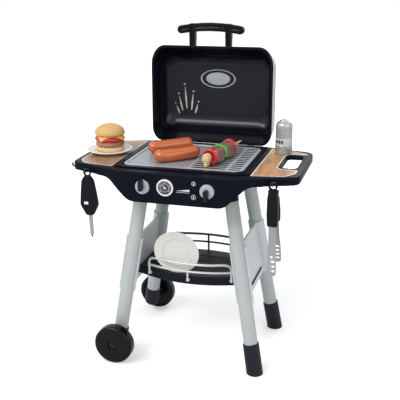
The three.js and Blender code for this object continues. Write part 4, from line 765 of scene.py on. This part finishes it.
# Lid badge
# A bare oval badge inside the lid: a raised silver rim, a dark moat and a plain silver field.
badge_x, badge_rise = -2, 28
badge_half, badge_rim, badge_flat = 40.6, 37, 20.7 / 40.6
badge_ceiling = lid_top - shell_wall - 2 * seat - liner_wall
badge_silver = plastic("badge_silver", (0.42, 0.44, 0.45), 0.3, grain=0.1, metallic=0.3)
badge_place = (lid_place @ at(badge_x, lid_middle_y - badge_rise, badge_ceiling)
               @ Matrix.Diagonal((1, badge_flat, -1, 1)))
base = turned([(0, 0), (badge_half, 0), (badge_half, 2.0, 0.5), (badge_rim + 0.4, 2.0, 0.5), (badge_rim, 1.2),
               (0, 1.2)], steps=96)
for face in base.faces:
    face.material_index = int(all(vert.co.xy.length > badge_rim - 0.1 for vert in face.verts))
field = turned([(0, 1.2), (28.2, 1.2), (27.3, 2.3, 0.7), (0, 2.3)], steps=96)
for part in (base, field):
    outward(moved(part, badge_place))
put("badge_plate", base, (lid_black, badge_silver), "lid", ["lid_badge"])
put("badge_field", field, badge_silver, "lid")


# Print inside the lid
# Silver strokes at the lower left: a fan of tapered rising strokes with round dots above them.
print_silver = plastic("print_silver", (0.50, 0.51, 0.51), 0.4, grain=0.05)
strokes = bmesh.new()
ink, dot_gap = 0.12, 6
for x, y, length, tilt in ((-93, 24, 20, 24), (-86, 31, 34, 14), (-76, 36, 50, 5), (-65, 33, 37, -6),
                           (-56, 26, 22, -16)):
    fan = at(x, y, 0) @ swung(tilt, "Z")
    stroke = slab(mirrored((1.2, 0, 0.6), (2.2, length * 0.45, 8), (0.3, length, 0.1)), 0, ink)
    dot = turned([(0, 0), (2, 0), (2, ink), (0, ink)], steps=24)
    add(strokes, moved(stroke, fan), moved(dot, at(*(fan @ Vector((0, length + dot_gap, 0))))))
put("lid_print", outward(strokes), print_silver, "lid",
    place=lid_place @ at(0, -32, badge_ceiling + 0.25 - ink) @ swung(180, "Y") @ swung(180, "Z"))


# Handle
# A black arched bar with a sunk channel, held clear of the lid by two ribbed brackets.
handle_black = plastic("handle_black", (0.0030, 0.0036, 0.0070), 0.24, grain=0.03, specular=0.13)
handle_reach, handle_arch, handle_straight, handle_face, handle_aside = 33, 6, 65.25, 16.5, -5
bracket_x = 40


def arch_y(x):
    """The middle line of the arched bar."""
    return lid_front - handle_reach - handle_arch * (1 - (x / handle_straight) ** 2)


def channel(start_x, end_x, steps):
    """A tool that sinks a sloping channel into the bar's face, along its arch."""
    shape = bmesh.new()
    face = shape.faces.new([shape.verts.new((start_x, arch_y(start_x) + y, handle_face + z))
                            for y, z in ((2, -1), (2, 0), (-2, 2.2), (-2, -1))])
    for k in range(steps):
        x, next_x = (start_x + (end_x - start_x) * (k + step) / steps for step in (0, 1))
        drawn = bmesh.ops.extrude_face_region(shape, geom=[face])["geom"]
        face = next(item for item in drawn if isinstance(item, bmesh.types.BMFace))
        bmesh.ops.translate(shape, verts=face.verts[:], vec=(next_x - x, arch_y(next_x) - arch_y(x), 0))
    return outward(shape)


tools = bmesh.new()
for start_x, end_x, steps in ((-64, -48, 4), (-31.5, 31.5, 12), (48, 64, 4)):
    add(tools, channel(start_x, end_x, steps))
for side in sides.values():
    add(tools, slab(oblong(2, 17, 1.5, side * bracket_x, lid_front - 22), handle_face - 2, handle_face + 1,
                    segments=3))
grip = carved(from_node("lid_handle"), moved(tools, lid_place))
for side in sides.values():
    root = slab(oblong(6, 8, 1, side * bracket_x, 0), rim_rise + 8.5, rim_rise + 23.5, segments=3)
    for vert in root.verts:
        inset = draft_y * (vert.co.z - start) / (rim_rise + lid_straight - start)
        vert.co.y = lid_front + (1 + inset if vert.co.y > 0 else -2)
    add(grip, moved(root, lid_place))
put("lid_grip", grip, handle_black, "lid", ["lid_handle"], at(handle_aside, 0, 0),
    softened=1.2)


# Hooks
# Bent wires that plug into the sides of the deck: one at the left end and two at the front.
hook_radius, hook_z, hook_x = 1.9, 416, 188.06
deck_half, table_front, apron_half = 232.5, -103, 118
hook_y = deck_front_y + (hook_x - apron_half) / (deck_half - apron_half) * (table_front - deck_front_y)
hook_black = plastic("hook_black", (0.006, 0.006, 0.009), 0.25, grain=0.04, specular=0.3)
for node, spot, turn, reach, lift in (
    ("hook_left_end", (-deck_half, -82, 410), -90, 9.5, 7),
    ("hook_left_front", (-hook_x, hook_y, hook_z), 0, 20, 6),
    ("hook_right_front", (hook_x, hook_y, hook_z), 0, 20, 6),
):
    wire = rod([(0, 4, 0), (0, 0, 0), (0, lift / 2 - reach, 0), (0, lift / 6 - reach, lift / 6),
                (0, -reach, lift / 2), (0, -reach, lift)], hook_radius)
    put(f"{node}_wire", wire, hook_black, "grill", [node], at(*spot) @ swung(turn, "Z"),
        smooth=50)


# Probe
# A toy food thermometer on the left hook: a black handle with a ring, a small white window, and a
# silver rod with a collar and a dark red point. It hangs a little aslant.
tool_y, probe_tilt = -130, -1.4
tip_low, tip_high = 276, 281
probe_place = at(-hook_x, tool_y, hook_z) @ swung(probe_tilt, "Y")
tool_black = plastic("tool_black", (0.0055, 0.0062, 0.010), 0.36, grain=0.22, grain_size=1400, specular=0.12)
probe_silver = plastic("probe_silver", (0.36, 0.37, 0.375), 0.36, grain=0.1, metallic=0.2)
tip_red = plastic("tip_red", (0.14, 0.035, 0.035), 0.4, grain=0.05)
grip = slab(mirrored((7.5, -92, 5), (19.4, -70, 14), (16, -41, 30), (12.6, -19, 9), (5.5, -9, 2)), -4.5, 4.5,
            segments=10)
loop = turned([(5.3, -2.5, 0.8), (8, -2.5, 1.2), (8, 2.5, 1.2), (5.3, 2.5, 0.8), (5.3, -2.5)], steps=48)
put("probe_grip", add(grip, moved(loop, at(0, -3.1, 0))), tool_black, "probe",
    ["probe_handle"], probe_place @ facing, softened=2.2)
spike = turned([(0, tip_low), (1.2, tip_low, 0.8), (2.2, tip_high), (4.3, 285, 0.4), (4.3, 286.6, 0.4),
                (3.8, 287.6), (4, 323.7, 0.4), (3, 323.7), (3, 333), (0, 333)])
for face in spike.faces:
    face.material_index = int(max(vert.co.z for vert in face.verts) < tip_high + 0.1)
put("probe_spike", spike, (probe_silver, tip_red), "probe", ["probe_rod"],
    probe_place @ at(0, 0, -hook_z))
window = slab(oblong(4.6, 3.0, 1.2, -193.5, 350), 0, 0.5)
put("probe_window", window, line_white, "probe",
    place=probe_place @ at(hook_x, -4.2, -hook_z) @ facing, softened=0.2)


# Tongs
# Two arms on the right hook, pivoted behind the front one's grip and sprung open. Each has a silver
# blade with four wide slots, and a black grip with a fuller cover over it.
blade_silver = plastic("blade_silver", (0.34, 0.35, 0.36), 0.3, grain=0.06, metallic=0.35)
spring_open, blade_slots, slot_high, slot_step = 17, 4, -145, 9.6
front_arm = at(hook_x, tool_y, hook_z) @ facing
back_arm = at(hook_x, -122.5, hook_z - 16) @ swung(spring_open, "X") @ at(0, 0.2, 16) @ facing
for arm, arm_place, shoulder in (
    ("front", front_arm, ((10.2, -26, 12), (8.2, -14, 4), (4.8, -9.5, 1.5))),
    ("back", back_arm, ((10.2, -30, 8), (7.6, -22, 3))),
):
    cover = slab(mirrored((9.8, -82.2, 3.4), (10.9, -60, 20), *shoulder), -3.5, 3.4, segments=10)
    put(f"tongs_{arm}_handle", add(from_node(f"tongs_{arm}_grip"), moved(cover, arm_place)), tool_black,
        f"tongs_{arm}", [f"tongs_{arm}_grip"], softened=0.8)
    slots = bmesh.new()
    for k in range(blade_slots):
        add(slots, slab(oblong(5.9, 2.9, 2.2, 0, slot_high - slot_step * k), -4, 4, segments=4))
    put(f"tongs_{arm}_paddle", carved(from_node(f"tongs_{arm}_blade"), moved(slots, arm_place)), blade_silver,
        f"tongs_{arm}", [f"tongs_{arm}_blade"], softened=0.3)


# Plates
# Off-white moulded plates with a raised ring round the well. One carries the burger and the other
# stands in the rack, leaning on the front rail.
plate_white = plastic("plate_white", (0.76, 0.755, 0.70), 0.30, drift=0.03, grain=0.05, coat=0.15,
                      subsurface=0.15)
dish_radius, dish_high = 48.5, 9.5
table_top = table_z + 0.3


def dish():
    """One plate, its foot ring on the ground."""
    return turned([
        (0, 1.2), (24.8, 1.2, 0.5), (26, 0, 0.6), (31, 0, 0.6), (32.2, 1.2, 0.8), (47.3, 7.3, 1.5),
        (dish_radius, 8.3, 0.7), (47.3, dish_high, 0.7), (33.5, 5.9, 2.0), (31.6, 6.3, 0.7), (29.5, 3.6, 1.4),
        (0, 3.4)], steps=96)


put("table_dish", dish(), plate_white, "plate_on_table", ["burger_plate"],
    at(-186, -16, table_top))
rack_x, rack_lean, rack_yaw, rack_back = -27, math.radians(6.5), 3, 1.5
bow_edge, bow_middle = bow[ends["front"]]
rack_face = (bow_edge + (bow_middle - bow_edge) * (1 - (rack_x / shelf_half) ** 2)
             - rail_stand + rail_radius + 3.5)
rack_rise = rails["front"][0] + rail_radius - shelf_top
rack_y = rack_back + rack_face + dish_high * math.cos(rack_lean) + rack_rise * math.tan(rack_lean)
rack_z = shelf_top + 0.3 + (dish_high - 1.2) * math.sin(rack_lean)
rack_place = (at(rack_x, rack_y, rack_z) @ swung(rack_yaw, "Z") @ Matrix.Rotation(rack_lean, 4, "X")
              @ at(0, 0, dish_radius) @ facing)
put("rack_dish", dish(), plate_white, "plate_in_rack", ["rack_plate"], rack_place)


# Burger
# Five loose play pieces: a bun base, a patty with a rough edge, a glossy tomato slice, a cheese
# slice whose corners droop over it, and a domed bun top.
burger_x, burger_y, layer_gap = -184, -17, 0.3
bun = plastic("bun", (0.66, 0.40, 0.155), 0.52, drift=0.07, grain=0.2, grain_size=700, subsurface=0.1)
bun_pale = plastic("bun_pale", (0.74, 0.52, 0.25), 0.55, grain=0.2, grain_size=700, subsurface=0.1)
patty_brown = plastic("patty_brown", (0.34, 0.17, 0.095), 0.5, drift=0.3, grain=0.5, grain_size=520)
tomato_red = plastic("tomato_red", (0.57, 0.008, 0.026), 0.18, grain=0.03, coat=0.25)
cheese_yellow = plastic("cheese_yellow", (0.83, 0.42, 0.07), 0.3, grain=0.05, subsurface=0.1)


def roughened(shape, amount, wave, phase):
    """Moves a slice's wall in and out a little, as a cut or chopped edge does."""
    for vert in shape.verts:
        radius = vert.co.xy.length
        if radius > 20:
            angle = math.atan2(vert.co.y, vert.co.x)
            push = math.sin(wave * angle + phase) + 0.5 * math.sin(2.3 * wave * angle + 1.7 * phase)
            vert.co.xy *= 1 + amount * push * (radius - 20) / 15 / radius
    return shape


z = table_top + 3.7
for name, node, body, material, slot, high, shape in (
    ("bun_base_piece", "bun_bottom", "burger_base", bun_pale, "bun_plastic", 11.8,
     turned([(0, 0), (28, 0, 4.5), (29.5, 6.5, 3), (28.4, 11.8, 2), (0, 11.8)])),
    ("patty_piece", "patty", "burger_patty", patty_brown, "meat_plastic", 11,
     roughened(turned([(0, 0), (29, 0, 3.4), (29.9, 5.5, 1.5), (29, 11, 3.4), (0, 11)], steps=96),
               0.45, 11, 0.4)),
    ("tomato_piece", "tomato_slice", "burger_tomato", tomato_red, "red_plastic", 9.2,
     roughened(turned([(0, 0), (31.2, 0, 4), (31.2, 9.2, 4), (0, 9.2)], steps=96), 0.9, 7, 1.1)),
):
    put(name, shape, material, body, [node], at(burger_x, burger_y, z), smooth=60)
    z += high + layer_gap
slice_half, slice_high, fold_radius, droop = 27.5, 3.2, 28.5, 0.86
cheese = bmesh.new()
bmesh.ops.create_grid(cheese, x_segments=28, y_segments=28, size=slice_half)
for vert in cheese.verts:
    past = max(0.0, vert.co.xy.length - fold_radius)
    vert.co.z = 2.6 - past * droop
    vert.co.xy *= 1 - past * 0.010
bmesh.ops.solidify(cheese, geom=cheese.faces[:], thickness=1.9)
put("cheese_piece", outward(cheese), cheese_yellow, "burger_cheese", ["cheese_slice"],
    at(burger_x, burger_y, z) @ swung(33, "Z"), smooth=50)
z += slice_high + layer_gap
bun_radius, bun_rise, bun_steps = 31.6, 20, 18
profile = [(0, 0), (31, 0, 1.2), (bun_radius, 2, 1)]
for k in range(1, bun_steps):
    angle = math.pi / 2 * k / bun_steps
    profile.append((bun_radius * math.cos(angle) ** 0.9, 2 + bun_rise * math.sin(angle) ** 0.95))
profile.append((0, 2 + bun_rise))
put("bun_top_piece", turned(profile), bun, "burger_top", ["bun_top"],
    at(burger_x, burger_y, z), smooth=70)


# Sausages
# Two glossy sausages with round ends, the front one more bent than the rear one. They lie on the
# smooth half of the plate.
sausage_radius, sausage_half, end_steps = 13, 50.5, 11
griddle_z = plate_high - griddle_sink + 0.3
sausage_orange = plastic("sausage_orange", (0.56, 0.125, 0.022), 0.2, drift=0.1, grain=0.04, coat=0.4,
                         subsurface=0.12)
cap = [(sausage_radius * math.cos(math.pi / 2 * k / end_steps),
        sausage_half - sausage_radius + sausage_radius * math.sin(math.pi / 2 * k / end_steps))
       for k in range(end_steps)] + [(0, sausage_half)]
profile = [(radius, -h) for radius, h in reversed(cap)]
profile += [(sausage_radius, h) for h in range(-32, 33, 8)] + cap
for name, x, y, turn, sag in (("rear", -60.6, 17.6, 40.7, 1.5), ("front", -23.4, -49, 42.5, 5)):
    link = moved(turned(profile), swung(90, "Y"))
    for vert in link.verts:
        vert.co.y += sag * (vert.co.x / sausage_half) ** 2
    put(f"sausage_{name}_link", link, sausage_orange, f"{name}_sausage",
        [f"sausage_{name}"], at(x, y, griddle_z + sausage_radius) @ swung(turn, "Z"), smooth=60)


# Skewer
# A beige stick with a tapered tip carries a mushroom slice, two red and one green pepper ring, and
# two meat cubes, all of moulded plastic. It lies on the grate.
skewer_radius = 16.2
skewer_place = at(46.2, -98, plate_high + 1.3 + skewer_radius) @ swung(-11.2, "Z") @ swung(-90, "X")
pepper_red = plastic("pepper_red", (0.55, 0.012, 0.012), 0.14, drift=0.15, grain=0.04, coat=0.5)
pepper_green = plastic("pepper_green", (0.10, 0.33, 0.035), 0.16, drift=0.15, grain=0.04, coat=0.5)
meat_brown = plastic("meat_brown", (0.20, 0.115, 0.085), 0.5, drift=0.28, grain=0.55, grain_size=420)
mushroom_beige = plastic("mushroom_beige", (0.72, 0.56, 0.30), 0.4, drift=0.12, grain=0.3, grain_size=500)
stick_cream = plastic("stick_cream", (0.72, 0.63, 0.46), 0.42, grain=0.2)
for name, node, low, thick, material, slot in (
    ("pepper_ring_front", "skewer_pepper_red_front", 20, 13, pepper_red, "red_plastic"),
    ("pepper_ring_middle", "skewer_pepper_green", 61, 11.5, pepper_green, "green_plastic"),
    ("pepper_ring_back", "skewer_pepper_red_back", 105.5, 12, pepper_red, "red_plastic"),
):
    high = low + thick
    ring = turned([(2.4, low + 3), (9.4, low + 3.2, 2.5), (12.2, low - 0.4, 2.5), (17.2, low, 3),
                   (17.2, high, 3), (12.2, high, 2.5), (9.4, high - 3.2, 2.5), (2.4, high - 3),
                   (2.4, low + 3)], steps=80)
    for vert in ring.verts:
        if vert.co.xy.length > 5:
            angle = math.atan2(vert.co.y, vert.co.x)
            vert.co.xy *= 1 - 0.02 * (1 - abs(math.cos(2 * angle + 0.4)) ** 0.7)
    put(name, ring, material, "skewer", [node], skewer_place, smooth=70)
for name, node, low, thick in (("meat_cube_front", "skewer_meat_front", 34.5, 25),
                               ("meat_cube_back", "skewer_meat_back", 74, 30)):
    cube = slab(oblong(13, 13.8, 4, 2.2, 0.6), low, low + thick)
    for vert in cube.verts:
        vert.co.xy *= 1 + 0.015 * math.sin(vert.co.x * 0.7 + vert.co.z) * math.cos(vert.co.y * 0.9)
    put(name, cube, meat_brown, "skewer", [node], skewer_place, softened=3.0)
mushroom = slab(mirrored((3.2, 15.4, 2.2), (3.4, 5, 1.4), (7.0, 5.6, 2.4), (7.5, -2.8, 4.6),
                         (4.3, -9.4, 4.2))[::-1], 3, 17)
put("mushroom_slice", mushroom, mushroom_beige, "skewer", ["skewer_mushroom"],
    skewer_place, softened=1.8)
put("skewer_rod", turned([(0, 0), (2, 0, 0.8), (2, 160, 2), (0.8, 171.5, 0.6), (0, 171.5)], steps=32),
    stick_cream, "skewer", ["skewer_stick"], skewer_place)


# Shaker
# A silver pot with a pale band round its middle, four small dark lozenges printed on the band, and a
# domed cap with pouring holes, shown as small dark discs sunk into it: painted shade for the holes' insides.
shaker_place = at(171, 67, table_top)
band_low, band_high, band_radius = 19.3, 33.5, 17.8
shaker_silver = plastic("shaker_silver", (0.44, 0.455, 0.44), 0.26, grain=0.04, metallic=0.45)
band_pale = plastic("band_pale", (0.60, 0.61, 0.62), 0.3, grain=0.03)
hole_painted_shade = plastic("hole_painted_shade", (0.05, 0.05, 0.05), 0.6)
motif_red = plastic("motif_red", (0.075, 0.012, 0.014), 0.4, grain=0.03)
put("shaker_pot", turned([(0, 0), (18.2, 0, 1.2), (18.1, 18, 0.5), (17.6, 19, 0.3), (17.5, 51.6), (0, 51.6)]),
    shaker_silver, "shaker", ["shaker_body"], shaker_place)
band = turned([(17.6, band_low), (band_radius, band_low, 0.1), (band_radius, band_high, 0.1),
               (17.6, band_high), (17.6, band_low)])
put("shaker_band", band, band_pale, "shaker", place=shaker_place)
put("shaker_dome", turned([(0, 51.8), (17.5, 51.8), (17.3, 65.8, 8), (9.6, 68.2, 1), (8.4, 70.4, 1.4),
                           (0, 71.6)]), shaker_silver, "shaker", ["shaker_cap"],
    shaker_place, smooth=50)
# The holes are not cut: dark discs stand for them, coloured as painted shade inside the holes.
holes = bmesh.new()
for count, radius, z in ((1, 0, 71.55), (6, 3.2, 71.1), (10, 6, 70.6)):
    for k in range(count):
        hole = turned([(0, -0.5), (0.85, -0.5), (0.85, 0.06, 0.05), (0, 0.06)], steps=16)
        add(holes, moved(hole, swung(360 * k / count, "Z") @ at(radius, 0, z)
                         @ Matrix.Rotation(radius * 0.06, 4, "Y")))
put("shaker_holes", holes, hole_painted_shade, "shaker", place=shaker_place)
motifs = bmesh.new()
for k in range(4):
    lozenge = slab([(0, -5.6, 0.6), (2.6, 0, 1), (0, 5.6, 0.6), (-2.6, 0, 1)], 17.6, 18.0, segments=3)
    add(motifs, moved(lozenge, at(0, 0, (band_low + band_high) / 2) @ swung(-146 + 18 * k, "Z")
                      @ swung(90, "Y") @ swung(90, "Z")))
put("shaker_motifs", motifs, motif_red, "shaker", place=shaker_place)
